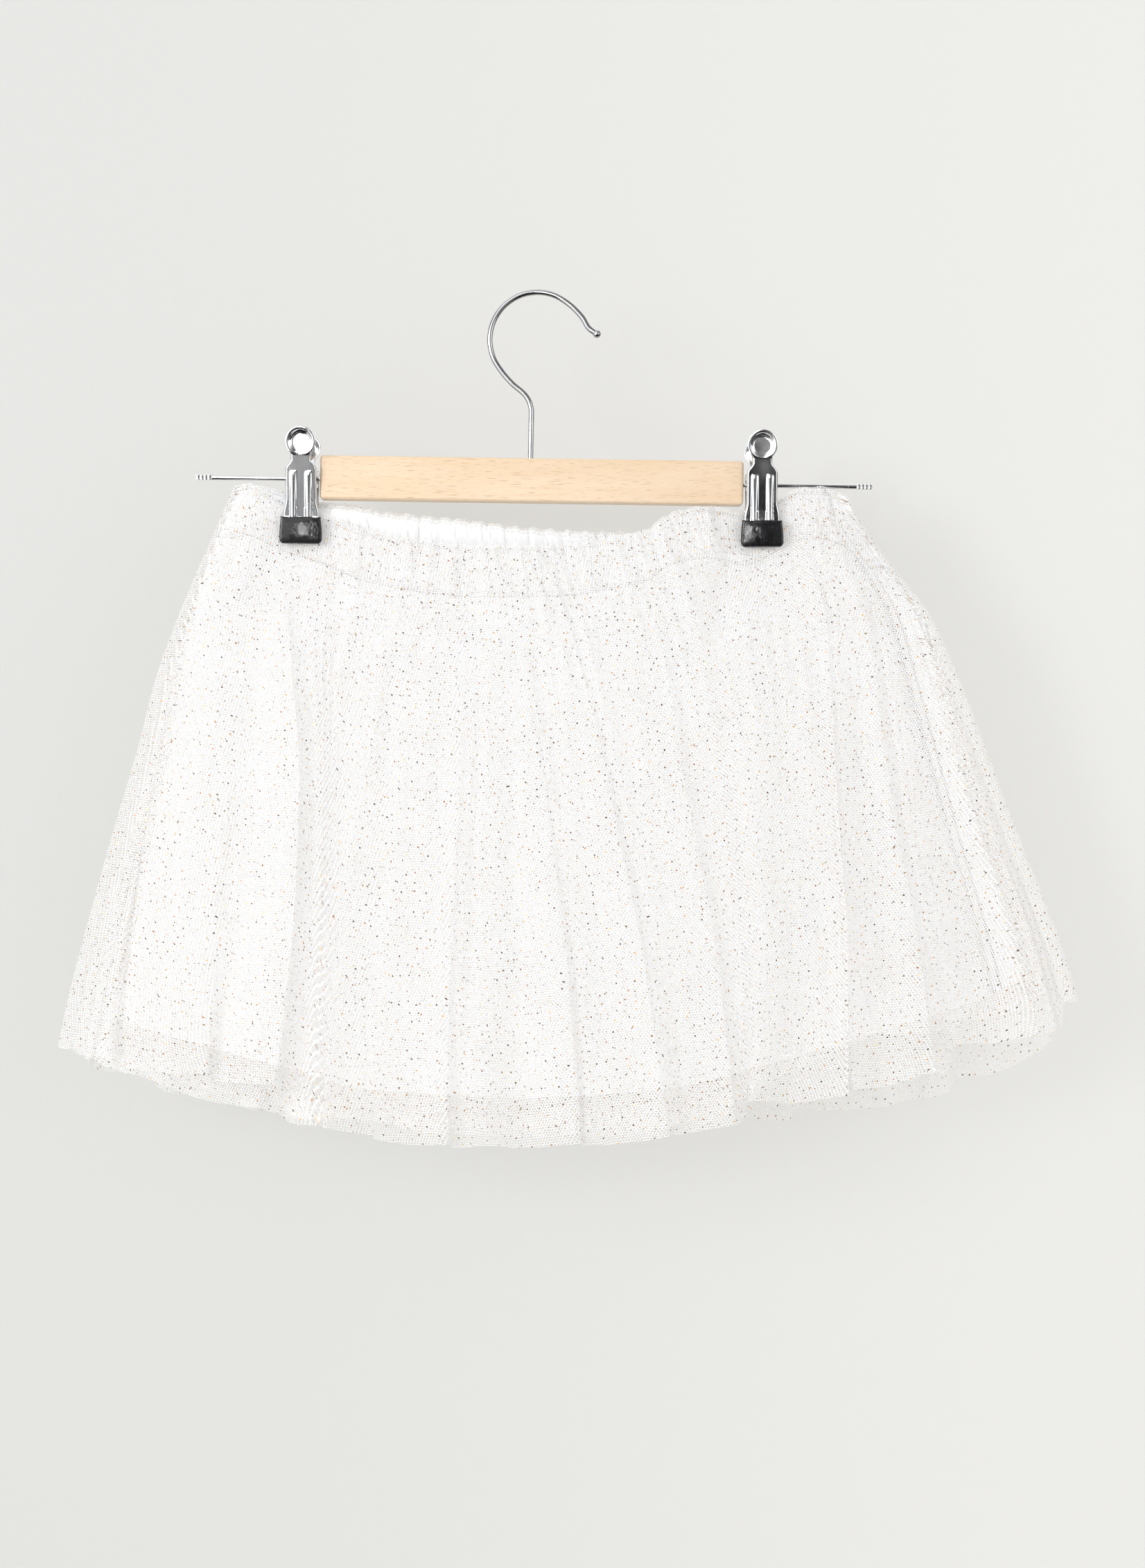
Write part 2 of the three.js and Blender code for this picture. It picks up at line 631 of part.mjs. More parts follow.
/** How far a clip's plate stands out from the rod at a height above it. */
const plateOut = (up) => PLATE_SLOPE.atRod + up * PLATE_SLOPE.flare;

/** A clip's bent plate: half width and stand-off at each height, then its round grip. */
function plateRows() {
  const rows = [
    { up: TIP.bottom + TIP.floor + GAP, half: PLATE.toeHalf, out: PLATE.toe },
    { up: TIP.top, half: PLATE.toeHalf, out: PLATE.toe },
    { up: -19.5, half: 10, out: PLATE.toe + 0.3 },
    { up: -10, half: PLATE.bodyHalf, out: plateOut(-10) },
    { up: 6, half: PLATE.bodyHalf, out: plateOut(6) },
    { up: 10.5, half: PLATE.neckHalf, out: plateOut(10.5) },
  ];
  const low = Math.asin((RING.from - RING.up) / RING.radius);
  for (let k = 0; k <= RING.rows; k += 1) {
    const angle = lerp(low, Math.PI / 2 - 0.1, k / RING.rows); // stops just short of a point
    const up = RING.up + RING.radius * Math.sin(angle);
    rows.push({ up, half: RING.radius * Math.cos(angle), out: plateOut(up) });
  }
  return rows;
}

function bentPlate(rows) {
  const positions = rows.flatMap(({ up, half, out }) => [
    -half, -out, up, half, -out, up, half, -out - PLATE.thick, up, -half, -out - PLATE.thick, up,
  ]);
  const index = [0, 3, 2, 0, 2, 1];
  for (let r = 0; r < rows.length - 1; r += 1) {
    for (let k = 0; k < 4; k += 1) {
      const a = 4 * r + k;
      const b = 4 * r + ((k + 1) % 4);
      index.push(a, b, b + 4, a, b + 4, a + 4);
    }
  }
  const last = 4 * (rows.length - 1);
  index.push(last, last + 1, last + 2, last, last + 2, last + 3);
  for (let k = 0; k < index.length; k += 3) [index[k + 1], index[k + 2]] = [index[k + 2], index[k + 1]];
  const geometry = new THREE.BufferGeometry();
  geometry.setAttribute('position', new THREE.Float32BufferAttribute(positions, 3));
  geometry.setIndex(index);
  return geometry;
}

/** The lug that carries a plate on the rod, with its slack bore. */
function ear(x) {
  const shape = new THREE.Shape();
  shape.absarc(0, 0, EAR.radius, -Math.PI / 2, Math.PI / 2);
  shape.lineTo(-plateOut(EAR.reach) - PLATE.thick / 2, EAR.reach);
  shape.lineTo(-plateOut(-EAR.reach) - PLATE.thick / 2, -EAR.reach);
  shape.closePath();
  shape.holes.push(circleHole(EAR.bore));
  return alongX(shape, EAR.thick, x);
}

function plate(earX) {
  const solid = toSolid(bentPlate(plateRows()));
  return toGeometry(solid.add(toSolid(ear(earX))).add(toSolid(ear(-earX))));
}

/** The dipped vinyl end, with the pocket that takes the plate. */
function tip() {
  const half = TIP.half;
  const shape = new THREE.Shape();
  shape.moveTo(half - 0.8, TIP.top);
  shape.lineTo(-half + 0.8, TIP.top);
  shape.absarc(-half + TIP.round, TIP.bottom + TIP.round, TIP.round, Math.PI, Math.PI * 1.5);
  shape.absarc(half - TIP.round, TIP.bottom + TIP.round, TIP.round, Math.PI * 1.5, Math.PI * 2);
  shape.closePath();
  const cut = { depth: TIP.thick, bevelEnabled: false, curveSegments: 5 };
  const block = new THREE.ExtrudeGeometry(shape, cut);
  block.rotateX(Math.PI / 2);
  block.translate(0, -TIP.inner, 0);
  const pocketHeight = TIP.top - TIP.bottom - TIP.floor;
  const pocketWidth = 2 * (PLATE.toeHalf + GAP);
  const pocket = new THREE.BoxGeometry(pocketWidth, PLATE.thick + 2 * GAP, 2 * pocketHeight);
  pocket.translate(0, -PLATE.toe - PLATE.thick / 2, TIP.bottom + TIP.floor + pocketHeight);
  return toGeometry(toSolid(block).subtract(toSolid(pocket)));
}

function spring() {
  const { inner, outer, length } = SPRING;
  const ring = [[inner, -length / 2], [outer, -length / 2], [outer, length / 2], [inner, length / 2]];
  const section = [...ring, ring[0]].map(([radius, along]) => new THREE.Vector2(radius, along));
  const geometry = new THREE.LatheGeometry(section, 16);
  geometry.rotateZ(Math.PI / 2);
  return geometry;
}

function clip({ name, x, rise, lean }) {
  const group = new THREE.Group();
  group.position.set(x, 0, -ROD.drop + rise);
  group.rotation.y = lean;
  for (const { half, turn, earX } of CLIP_HALVES) {
    const pieces = [
      piece(`${name}_${half}`, plate(earX), MATERIAL.chrome),
      piece(`${name}_${half}_tip`, tip(), MATERIAL.vinyl),
    ];
    for (const mesh of pieces) {
      mesh.rotation.z = turn;
      group.add(mesh);
    }
  }
  return group;
}

function hanger() {
  const group = new THREE.Group();
  group.rotation.y = TILT;
  group.add(
    piece('hanger_bar', bar(), MATERIAL.beech),
    piece('hanger_hook', hook(), MATERIAL.chrome),
    piece('hanger_rod', rod(), MATERIAL.chrome),
  );
  for (const row of CLIPS) {
    group.add(clip(row));
    const coil = piece(`${row.name}_spring`, spring(), MATERIAL.chrome);
    coil.position.set(row.x, 0, -ROD.drop);
    group.add(coil);
  }
  return group;
}

const model = new THREE.Group();
model.add(skirt(), hanger());

export default model;
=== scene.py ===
"""A girl's short tulle skirt, clipped to a wooden skirt hanger and hanging flat.

The cloth's form and the hanger's sizes are those of the CAD part, in its frame:
+X along the hanger, -Y the front, +Z up, the origin inside the hook's crown.
Sizes are in millimetres up to the call that makes a mesh, and so is the place that
the cloth's materials read. Lamps, the camera and other materials are in metres.
"""
import math

import bpy
import numpy as np
from mathutils import Matrix, Vector


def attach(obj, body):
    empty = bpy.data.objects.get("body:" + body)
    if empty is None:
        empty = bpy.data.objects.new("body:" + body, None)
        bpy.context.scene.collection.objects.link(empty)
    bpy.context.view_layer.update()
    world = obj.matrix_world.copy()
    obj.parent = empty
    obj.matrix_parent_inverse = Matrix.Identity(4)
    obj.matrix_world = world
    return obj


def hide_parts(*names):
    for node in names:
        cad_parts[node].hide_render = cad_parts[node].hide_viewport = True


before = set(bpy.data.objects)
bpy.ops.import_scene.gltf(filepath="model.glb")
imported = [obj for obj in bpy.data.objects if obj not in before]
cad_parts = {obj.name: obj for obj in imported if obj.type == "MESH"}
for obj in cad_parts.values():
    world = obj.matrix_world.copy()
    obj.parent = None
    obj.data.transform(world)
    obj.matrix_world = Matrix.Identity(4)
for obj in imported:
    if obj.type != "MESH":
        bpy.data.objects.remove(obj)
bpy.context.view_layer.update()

MM = 0.001
ROOT = "root"

# ---- Sizes of the hanger ----

TILT = 0.0144
WIRE_RADIUS = 1.6
WIRE_LOOP = 27.5
WIRE_LOOP_DROP = 25.9
WIRE_BALL = 2.3
WIRE_END = (34.2, -22.0)
STEM_X = -3.0
STEM_BOTTOM = 104.0
BAR_X = -2.1
BAR_DROP = 107.4
BAR_LENGTH = 243.6
BAR_DEPTH = 12.0
BAR_HEIGHT = 25.0
BAR_ROUND = 1.5
BAR_END_ROUND = 2.0
BORE_RADIUS = 1.5
ROD_RADIUS = 1.4
ROD_LENGTH = 390.0
ROD_X = -0.8
ROD_DROP = 108.0
KNURL_LENGTH = 8.8
KNURLS = 26
KNURL_RINGS = 4
GROOVE_SIZE = 0.76  # shares of the rod's radius, between the knurled rings and on the plain rod
PLAIN_SIZE = 0.94

# name, x, rise and lean of each clip
CLIPS = [
    ("clip_left", -134.3, -0.9, 0.0),
    ("clip_right", 130.1, 0.9, -0.02),
]
# half, turn about the upright, and how far the ears stand from its middle
CLIP_HALVES = [
    ("front", 0.0, 8.1),
    ("back", math.pi, 6.7),
]
PLATE_THICK = 0.9
PLATE_METAL = 0.7
PLATE_STAND = 9.1
PLATE_TOE = 5.8
PLATE_FLARE = 0.19
PLATE_ROLL = 1.2
PLATE_LOW_HALF = 10.3
PLATE_HALF = 8.8
NECK_HALF = 5.65
FLANGE_EDGE = 0.35
FLANGE_DEPTH = 3.4
RING_UP = 20.4
RING_RADIUS = 8.45
RING_JOIN = 12.0
BEAD_RADIUS = 7.75
BEAD_HALF = 0.95
BEAD_HEIGHT = 0.6
DISH_DEPTH = 1.25
RIB_X = 4.4
RIB_HALF = 1.9
RIB_HEIGHT = 0.75
EAR_RADIUS = 4.4
EAR_BORE = 2.6
EAR_THICK = 1.0
TIP_TOP = -21.8
TIP_BOTTOM = -37.2
TIP_HALF = 12.2
TIP_INNER = 4.6
TIP_THICK = 3.6
TIP_TAPER = 0.7
TIP_ROUND = 2.6
TIP_SIDE_EDGE = 1.2
TIP_END_EDGE = 0.9
TIP_CROWN = 0.7
TIP_LEAN = 1.0
COIL_RADIUS = 3.3
COIL_WIRE = 0.6
COIL_TURNS = 6
COIL_HALF = 3.9
COIL_LEG_UP = 9.0
COIL_LEG_GAP = 0.9

# ---- Tables of the cloth's form ----

SEAM = 0.3
CLOTH_WALL = 1.0
CASING_WALL = 2.0
CASING_BELOW = 2.0
CASING_HEIGHT = 28.0
CLIP_SPOTS = (-136.2, 128.6)
JAW_HALF = 17.0
JAW_FADE = 17.0
JAW_DROP = 160.0
JAW_FADE_DROP = 46.0


def columns(names, rows):
    """A table as one array for each named column."""
    return dict(zip(names.split(), np.array(rows, float).T))


OUTLINE = columns("drop left right edge middle", [
    (105, -173.5, 178, 3.75, 5.2), (125, -182.5, 184, 3.75, 6.4), (146, -191.5, 197, 3.75, 7.6),
    (185, -208, 226.6, 5.6, 12), (221, -221, 243, 6.8, 18), (265, -232.5, 260, 8, 24),
    (309, -245.5, 276.6, 9, 29), (374, -263.5, 302, 10, 36), (414, -273.5, 314, 10.6, 40),
    (495, -288, 336, 11, 45),
])
OUTER_INSET = columns("drop side middle", [(105, 0, 0), (495, 0, 0)])
CASING_INSET = columns("drop side middle", [(105, 2.6, 2.0), (495, 2.6, 2.0)])
INNER_INSET = columns("drop side middle", [
    (105, 1.3, 1.3), (146, 1.8, 1.4), (177, 3.5, 1.5),
    (206, 5.5, 4), (265, 9, 7), (414, 16, 14),
    (495, 17, 17),
])
LINING_INSET = columns("drop side middle", [
    (105, 2.6, 2.2), (146, 2.9, 2), (178, 6.5, 1.9),
    (210, 11.5, 5.5), (265, 17, 12), (398, 28, 20),
    (495, 31, 24),
])
FRONT_TOP = columns("x drop", [
    (-175.8, 110), (-166, 109), (-157, 113), (-146, 118.5), (-126, 124.5),
    (-101.5, 135), (-69, 141.6), (-35, 145), (12, 144.5), (38, 141),
    (60, 136.5), (77, 126), (92, 122.8), (104, 122.6), (118, 126),
    (130, 122), (141, 116), (150, 111.6), (164, 111.2), (173, 113.4),
    (181, 119), (185.8, 127.6),
])
BACK_TOP = columns("x drop", [
    (-175.8, 110), (-166, 108.6), (-147, 112.4), (-126.7, 118.6), (-106.6, 120),
    (-88, 124), (-38.5, 129), (-9, 133), (47, 135.7), (90, 131),
    (118, 124), (130, 121), (150, 114), (171, 114.5), (181, 120), (185.8, 127.6),
])
OUTER_FRONT_HEM = columns("x drop top bow", [
    (-277, 434, -175.8, 0), (-265, 437, -171.2, 0), (-250, 441, -169.5, -4),
    (-222, 446, -167, -10), (-183, 451, -158, 14), (-164, 456, -152, 20),
    (-138, 474, -138, 18), (-126, 476, -98, -4), (-95, 479, -60, -8),
    (-69, 485, -47, -6), (-49, 486, -36, -3), (33, 485, -22, 10),
    (79, 478, 11, 9), (114, 472, 58, 9), (128, 463, 96, 8),
    (138, 462, 117, 8), (188, 456, 166, -17), (210, 448, 172, -10),
    (231, 446, 175.5, -6), (243, 434, 177, -4), (279, 427, 179.6, 0),
    (302, 422, 181.4, 0), (314, 407, 185.8, 0),
])
OUTER_BACK_HEM = columns("x drop top bow", [
    (-277, 434, -175.8, 0), (-263, 447, -171.2, 0), (-230, 461, -163, -6),
    (-170, 476, -138, 8), (-80, 488, -66, -5), (30, 491, -8, 6),
    (124, 484, 72, 8), (167, 481, 126, 4), (205, 474, 152, -6),
    (243, 465, 168, -6), (271, 452, 176, 0), (300, 432, 181.2, 0),
    (314, 407, 185.8, 0),
])
INNER_HEM = columns("x drop", [
    (-262, 440), (-225, 452), (-188, 463), (-136, 473), (-97, 474),
    (-44, 482), (20, 482), (64, 479), (100, 468), (135, 451),
    (175, 433), (232, 422), (272, 413), (296, 404),
])
LINING_HEM = columns("x drop", [
    (-246, 417), (-200, 430), (-142, 444), (-95, 456), (0, 460),
    (72, 455), (140, 439), (203, 421), (236, 412), (281, 395),
])
OUTER_FRONT_FOLDS = columns("x width depth lap start", [
    (-250, 13, 9, 6, 0.1), (-222, 9, 8, -10, 0.15), (-198, 10, 11, 12, 0.05),
    (-163, 13, 15, 17, 0), (-127, 9, 7, 9, 0.25), (-107, 9, 10, -11, 0.05),
    (-78, 10, 10, -11, 0.05), (-58, 8, 8, 9, 0.05), (-22, 12, 8, -9, 0.2),
    (10, 11, 10, 13, 0.1), (36, 8, 6, -8, 0.3), (58, 11, 12, 14, 0),
    (97, 10, 10, 12, 0.05), (129, 9, 12, -11, 0.1), (160, 10, 10, 12, 0.05),
    (186, 9, 7, -9, 0.2), (210, 10, 11, 12, 0.1), (246, 10, 11, -11, 0.15),
    (274, 9, 8, 9, 0.25),
])
OUTER_BACK_FOLDS = columns("x width depth lap start", [
    (-240, 13, 9, 9, 0.1), (-196, 12, 11, 14, 0), (-174, 9, 6, -8, 0.3),
    (-150, 11, 9, -12, 0.1), (-104, 13, 13, 16, 0.05), (-80, 9, 6, -7, 0.25),
    (-55, 11, 9, 10, 0.15), (-14, 12, 12, -15, 0), (12, 9, 6, 8, 0.3),
    (38, 11, 9, 11, 0.2), (78, 12, 12, 15, 0), (122, 11, 9, -12, 0.1),
    (168, 12, 11, -14, 0.05), (190, 9, 6, 8, 0.3), (214, 11, 9, 11, 0.1),
    (256, 11, 9, -8, 0.2),
])
INNER_FOLDS = columns("x width depth lap start", [
    (-222, 16, 5, 0, 0.2), (-160, 17, 6, 5, 0.1), (-104, 16, 5, 0, 0.3),
    (-44, 17, 6, -5, 0.1), (18, 16, 5, 0, 0.2), (76, 17, 6, 5, 0.1),
    (138, 16, 5, 0, 0.2), (196, 16, 6, -5, 0.1), (246, 14, 4, 0, 0.3),
])
LINING_FOLDS = columns("x width depth lap start", [
    (-150, 30, 3, 0, 0.3), (-40, 34, 3, 0, 0.3), (70, 32, 3, 0, 0.3),
    (180, 28, 3, 0, 0.3),
])
GATHERS = columns("x height", [
    (-176, 1.2), (-100, 1.6), (40, 1.9), (92, 3.2), (112, 2.4), (150, 2.6), (186, 1.1),
])
GATHER_COUNT = 24
FINE_GATHER_COUNT = 67
WAIST_LENGTH = 361.0
BACK_PATTERN = 900.0  # sets the back's part of the pattern apart from the front's

# ---- Curves through the tables ----


def lerp(a, b, t):
    return a + (b - a) * t


def smoothstep(x, low, high):
    t = np.clip((x - low) / (high - low), 0, 1)
    return t * t * (3 - 2 * t)


def curve(x, y):
    """A monotone cubic through the points."""
    slope = np.diff(y) / np.diff(x)
    before = np.concatenate([slope[:1], slope])
    after = np.concatenate([slope, slope[-1:]])
    total = np.where(before * after > 0, before + after, 1)
    tangent = np.where(before * after > 0, 2 * before * after / total, 0)

    def at(value):
        value = np.asarray(value, float)
        i = np.clip(np.searchsorted(x, value, side="right") - 1, 0, len(x) - 2)
        span = x[i + 1] - x[i]
        t = np.clip((value - x[i]) / span, 0, 1)
        s = 1 - t
        start = y[i] * (1 + 2 * t) + tangent[i] * span * t
        end = y[i + 1] * (1 + 2 * s) - tangent[i + 1] * span * s
        return start * s * s + end * t * t

    return at


def reader(table, source):
    """Every other column of a table, as a curve over the source column."""
    return {name: curve(table[source], table[name]) for name in table if name != source}


# ---- The cloth's form ----

outline = reader(OUTLINE, "drop")


class Layer:
    """A flattened tube: side folds of radius edge, and a front and a back between them."""

    def __init__(self, inset, share):
        self.inset = reader(inset, "drop")
        self.share = share

    def left(self, drop):
        return outline["left"](drop) + self.inset["side"](drop)

    def right(self, drop):
        return outline["right"](drop) - self.inset["side"](drop)

    def edge(self, drop):
        return outline["edge"](drop) * self.share

    def middle(self, drop):
        return outline["middle"](drop) - self.inset["middle"](drop)


OUTER = Layer(OUTER_INSET, 1.0)
CASING = Layer(CASING_INSET, 0.52)
INNER = Layer(INNER_INSET, 0.68)
LINING = Layer(LINING_INSET, 0.3)


def pinch(x, drop):
    """1 where a clip's jaws hold the cloth flat, falling to 0 around them."""
    nearest = np.minimum(abs(x - CLIP_SPOTS[0]), abs(x - CLIP_SPOTS[1]))
    beside = 1 - smoothstep(nearest, JAW_HALF, JAW_HALF + JAW_FADE)
    return beside * (1 - smoothstep(drop, JAW_DROP, JAW_DROP + JAW_FADE_DROP))


def stand_off(form, x, drop):
    """How far a layer's smooth form stands off the centre plane."""
    edge = form.edge(drop)
    inward = np.minimum(x - form.left(drop), form.right(drop) - x)
    rounded = np.sqrt(edge ** 2 - (edge - np.clip(inward, 0, edge)) ** 2)
    half = (form.right(drop) - form.left(drop)) / 2 - edge
    lens = 1 - (1 - np.clip((inward - edge) / half, 0, 1)) ** 2
    return SEAM / 2 + rounded + (form.middle(drop) - edge) * lens * (1 - pinch(x, drop))


gather_height = curve(GATHERS["x"], GATHERS["height"])


def gather(top_x, fall, phase):
    """A gather's height at a place along the top edge, fading as it falls down the cloth."""
    turns = top_x / WAIST_LENGTH * GATHER_COUNT + phase
    wobble = 0.35 * np.sin(top_x * 0.11 + phase) + 0.25 * np.sin(top_x * 0.047)
    wave = 0.5 + 0.5 * np.cos(2 * np.pi * (turns + wobble))
    return gather_height(top_x) * wave ** 1.4 * (1 - smoothstep(fall, 34, 170))


def fine_gather(top_x, fall, phase):
    """The close creases between the gathers."""
    wobble = 1.7 * phase + 0.6 * np.sin(top_x * 0.083 + phase)
    turns = top_x / WAIST_LENGTH * FINE_GATHER_COUNT + wobble
    wave = 0.5 + 0.5 * np.cos(2 * np.pi * turns)
    reach = 70 + 40 * np.sin(top_x * 0.19 + 3 * phase)
    return 0.34 * gather_height(top_x) * wave * (1 - smoothstep(fall, 10, reach))


def ripple(hem_x, fall, phase):
    """Low, narrow waves between the main folds, from three that drift across each other."""
    first = np.sin(hem_x * 0.27 + 4 * phase + 1.1 * np.sin(fall * 0.015 + hem_x * 0.02))
    second = np.sin(hem_x * 0.43 + 9 * phase + 1.6 * np.sin(fall * 0.009 + hem_x * 0.05))
    third = np.sin(hem_x * 0.111 + 2 * phase)
    body = 0.95 * (1 + first) * (0.6 + 0.4 * third) + 0.5 * (1 + second)
    return body * smoothstep(fall, 27, 135)


def crease_fan(x, drop):
    """Creases that spread from the lower edge of each clip's jaws."""
    total = 0
    for spot in CLIP_SPOTS:
        across = x - spot
        down = drop - 132
        reach = np.hypot(across, down)
        wave = 0.5 + 0.5 * np.cos(8.5 * np.arctan2(across, down) + 0.9)
        total = total + wave ** 1.5 * smoothstep(reach, 15, 30) * np.exp(-(reach / 62) ** 2)
    return 1.5 * total


def fold_at(folds, hem_x, v):
    """What the hanging folds add at a place along the hem: outwards, and along the hem."""
    out = 0
    along = 0
    for k in range(len(folds["x"])):
        bell = np.exp(-((hem_x - folds["x"][k]) / folds["width"][k]) ** 2)
        start = folds["start"][k]
        grown = np.clip((v - start) / (1 - start), 0, 1) ** 0.9
        out = out + folds["depth"][k] * bell * grown
        along = along + folds["lap"][k] * bell * grown
    return out, along


class Panel:
    """One side of one layer. place runs 0 to 1 along the hem, v from top edge to hem."""

    def __init__(
        self, side, form, top, hem, phase, folds, scallop, shift=0.0, height=None,
        gathered=1.0, rippled=1.0,
    ):
        self.side = side
        self.form = form
        self.top = curve(top["x"], top["drop"])
        self.first_drop = top["drop"][0]
        self.hem = reader(hem, "x")
        self.ends = (hem["x"][0], hem["x"][-1])
        self.folds = folds
        self.phase = phase
        self.shift = shift
        self.height = height
        self.gathered = gathered  # its share of the gathers' height
        self.rippled = rippled  # its share of the small waves
        self.scallop = scallop  # how much its hem rises where a fold stands out

    def near(self, drop):
        return self.form.left(drop) + self.form.edge(drop)

    def far(self, drop):
        return self.form.right(drop) - self.form.edge(drop)

    def across(self, drop, t):
        return lerp(self.near(drop), self.far(drop), t)

    def fraction(self, x, drop, place):
        t = (x - self.near(drop)) / (self.far(drop) - self.near(drop))
        return np.clip(t, 0.004 + 0.12 * place, 0.876 + 0.12 * place)

    def drop_under(self, t, under):
        drop = self.first_drop
        for _ in range(6):
            drop = self.top(self.across(drop, t)) + under
        return drop

    def lines(self, place):
        """Where the line of cloth at each place starts and ends."""
        hem_x = lerp(*self.ends, place)
        hem_drop = self.hem["drop"](hem_x)
        strip = self.height is not None
        t_hem = place if strip else self.fraction(hem_x, hem_drop, place)
        if "top" in self.hem:
            top_x = self.hem["top"](hem_x)
            start = self.top(top_x)
            t_top = self.fraction(top_x, start, place)
        else:
            top_x = self.across(self.drop_under(t_hem, 0), t_hem)
            t_top = t_hem
            start = self.drop_under(t_top, self.shift)
        end = self.drop_under(t_hem, self.shift + self.height) if strip else hem_drop
        return hem_x, top_x, t_top, t_hem, start, end

    def middle_points(self, place, rows):
        """Points between the side folds: places by rows by xyz."""
        hem_x, top_x, t_top, t_hem, start, end = (a[:, None] for a in self.lines(place))
        v = rows[None, :]
        form = self.form
        drop = lerp(start, end, v)
        x = self.across(drop, lerp(t_top, t_hem, v ** 0.8))
        if "bow" in self.hem:
            x = x + self.hem["bow"](hem_x) * 4 * v * (1 - v)
        inward = np.minimum(x - form.left(drop), form.right(drop) - x)
        edge = form.edge(drop)
        free = (1 - pinch(x, drop)) * smoothstep(inward, edge, edge + 14)
        out = 0
        if self.folds is not None:
            out, along = fold_at(self.folds, hem_x, v)
            x = x + along * free
        fall = self.shift + v * (end - start)
        gathers = gather(top_x, fall, self.phase) + fine_gather(top_x, fall, self.phase)
        waves = ripple(hem_x, fall, self.phase) + crease_fan(x, drop)
        out = out + self.gathered * gathers + self.rippled * waves
        y = self.side * (stand_off(form, x, drop) + out * free)
        frill = np.sin(top_x * 0.61 + self.phase) + 0.6 * np.sin(top_x * 1.27 + 2)
        drop = drop + 0.5 * frill * free * (1 - smoothstep(fall, 0, 7))
        drop = drop - self.scallop * out * free * v ** 8
        return np.stack([x, y, -drop], -1)

    def corner_points(self, place, angles, rows):
        """Points round one side fold, from its edge towards the panel's middle."""
        _, _, _, _, start, end = (a[:, None] for a in self.lines(np.array([float(place)])))
        drop = lerp(start, end, rows[None, :]) + 0 * angles[:, None]
        edge = self.form.edge(drop)
        inward = edge * (1 - np.cos(angles[:, None]))
        x = self.form.left(drop) + inward if place == 0 else self.form.right(drop) - inward
        y = self.side * (SEAM / 2 + edge * np.sin(angles[:, None]))
        return np.stack([x, y, -drop], -1)

    def grid(self, count, rows):
        """The whole panel, left to right, with columns even along hem and top together."""
        angles = np.radians(np.linspace(0, 90, 9))
        place = np.linspace(0, 1, 4001)
        top_x = self.lines(place)[1]
        even = (place + (top_x - top_x[0]) / (top_x[-1] - top_x[0])) / 2
        inner = np.interp(np.arange(1, count) / count, even, place)
        margin = 13 / (self.ends[1] - self.ends[0])
        inner = inner[(inner > margin) & (inner < 1 - margin)]
        return np.concatenate([
            self.corner_points(0, angles, rows),
            self.middle_points(inner, rows),
            self.corner_points(1, angles[::-1], rows),
        ])


# ---- Meshes ----


def linked(name, data):
    """A new object in the scene."""
    made = bpy.data.objects.new(name, data)
    bpy.context.scene.collection.objects.link(made)
    return made


def new_mesh_object(name, points, faces):
    """A smooth object from points in millimetres."""
    mesh = bpy.data.meshes.new(name)
    mesh.from_pydata((np.asarray(points, float) * MM).tolist(), [], faces)
    mesh.validate()
    mesh.polygons.foreach_set("use_smooth", [True] * len(mesh.polygons))
    return linked(name, mesh)


def grid_faces(rows, wide, wrapped=False, looped=False, flipped=False):
    """Quads between rows of points. wrapped joins each row's ends, looped the outer rows."""
    faces = []
    for r in range(rows if looped else rows - 1):
        here = r * wide
        after = (r + 1) % rows * wide
        for k in range(wide if wrapped else wide - 1):
            beside = (k + 1) % wide
            quad = [here + k, here + beside, after + beside, after + k]
            faces.append(quad[:1] + quad[:0:-1] if flipped else quad)
    return faces


def tube_normals(grid):
    """Outward normals of a closed tube of columns."""
    along = np.roll(grid, -1, 0) - np.roll(grid, 1, 0)
    down = np.gradient(grid, axis=1)
    normal = np.cross(along, down)
    length = np.linalg.norm(normal, axis=-1, keepdims=True)
    return -normal / np.maximum(length, 1e-9)


def cloth_tube(name, front, back, count, rows, inset):
    """Front and back panels as one tube of cloth, its lengths across and down in "cloth"."""
    before = front.grid(count, rows)
    grid = np.concatenate([before, back.grid(count, rows)[::-1]])
    grid = grid - tube_normals(grid) * inset
    wide, tall = grid.shape[:2]
    step = np.linalg.norm(np.roll(grid, -1, 0) - grid, axis=-1)
    around = np.concatenate([[0], np.cumsum(step.mean(1))])
    across = np.cumsum(step, 0)
    seam = len(before)
    across[:seam] -= across[seam // 2]
    across[seam:] -= across[(seam + wide) // 2] + BACK_PATTERN
    fall = np.linalg.norm(np.diff(grid, axis=1), axis=-1)
    down = np.concatenate([np.zeros((wide, 1)), np.cumsum(fall, 1)], 1)
    made = new_mesh_object(name, grid.reshape(-1, 3), grid_faces(wide, tall, looped=True))
    mesh = made.data
    cloth = np.stack([across, down, 0 * down], -1).astype(np.float32)
    place = mesh.attributes.new("cloth", "FLOAT_VECTOR", "POINT")
    place.data.foreach_set("vector", cloth.ravel())
    i, j = np.indices((wide, tall - 1))
    column = np.stack([i, i, i + 1, i + 1], -1).ravel()
    row = np.stack([j, j + 1, j + 1, j], -1).ravel()
    unwrapped = np.stack([around[column] / around[-1], 1 - row / (tall - 1)], 1)
    layer = mesh.uv_layers.new(name="OFBake")
    layer.data.foreach_set("uv", unwrapped.astype(np.float32).ravel())
    return made


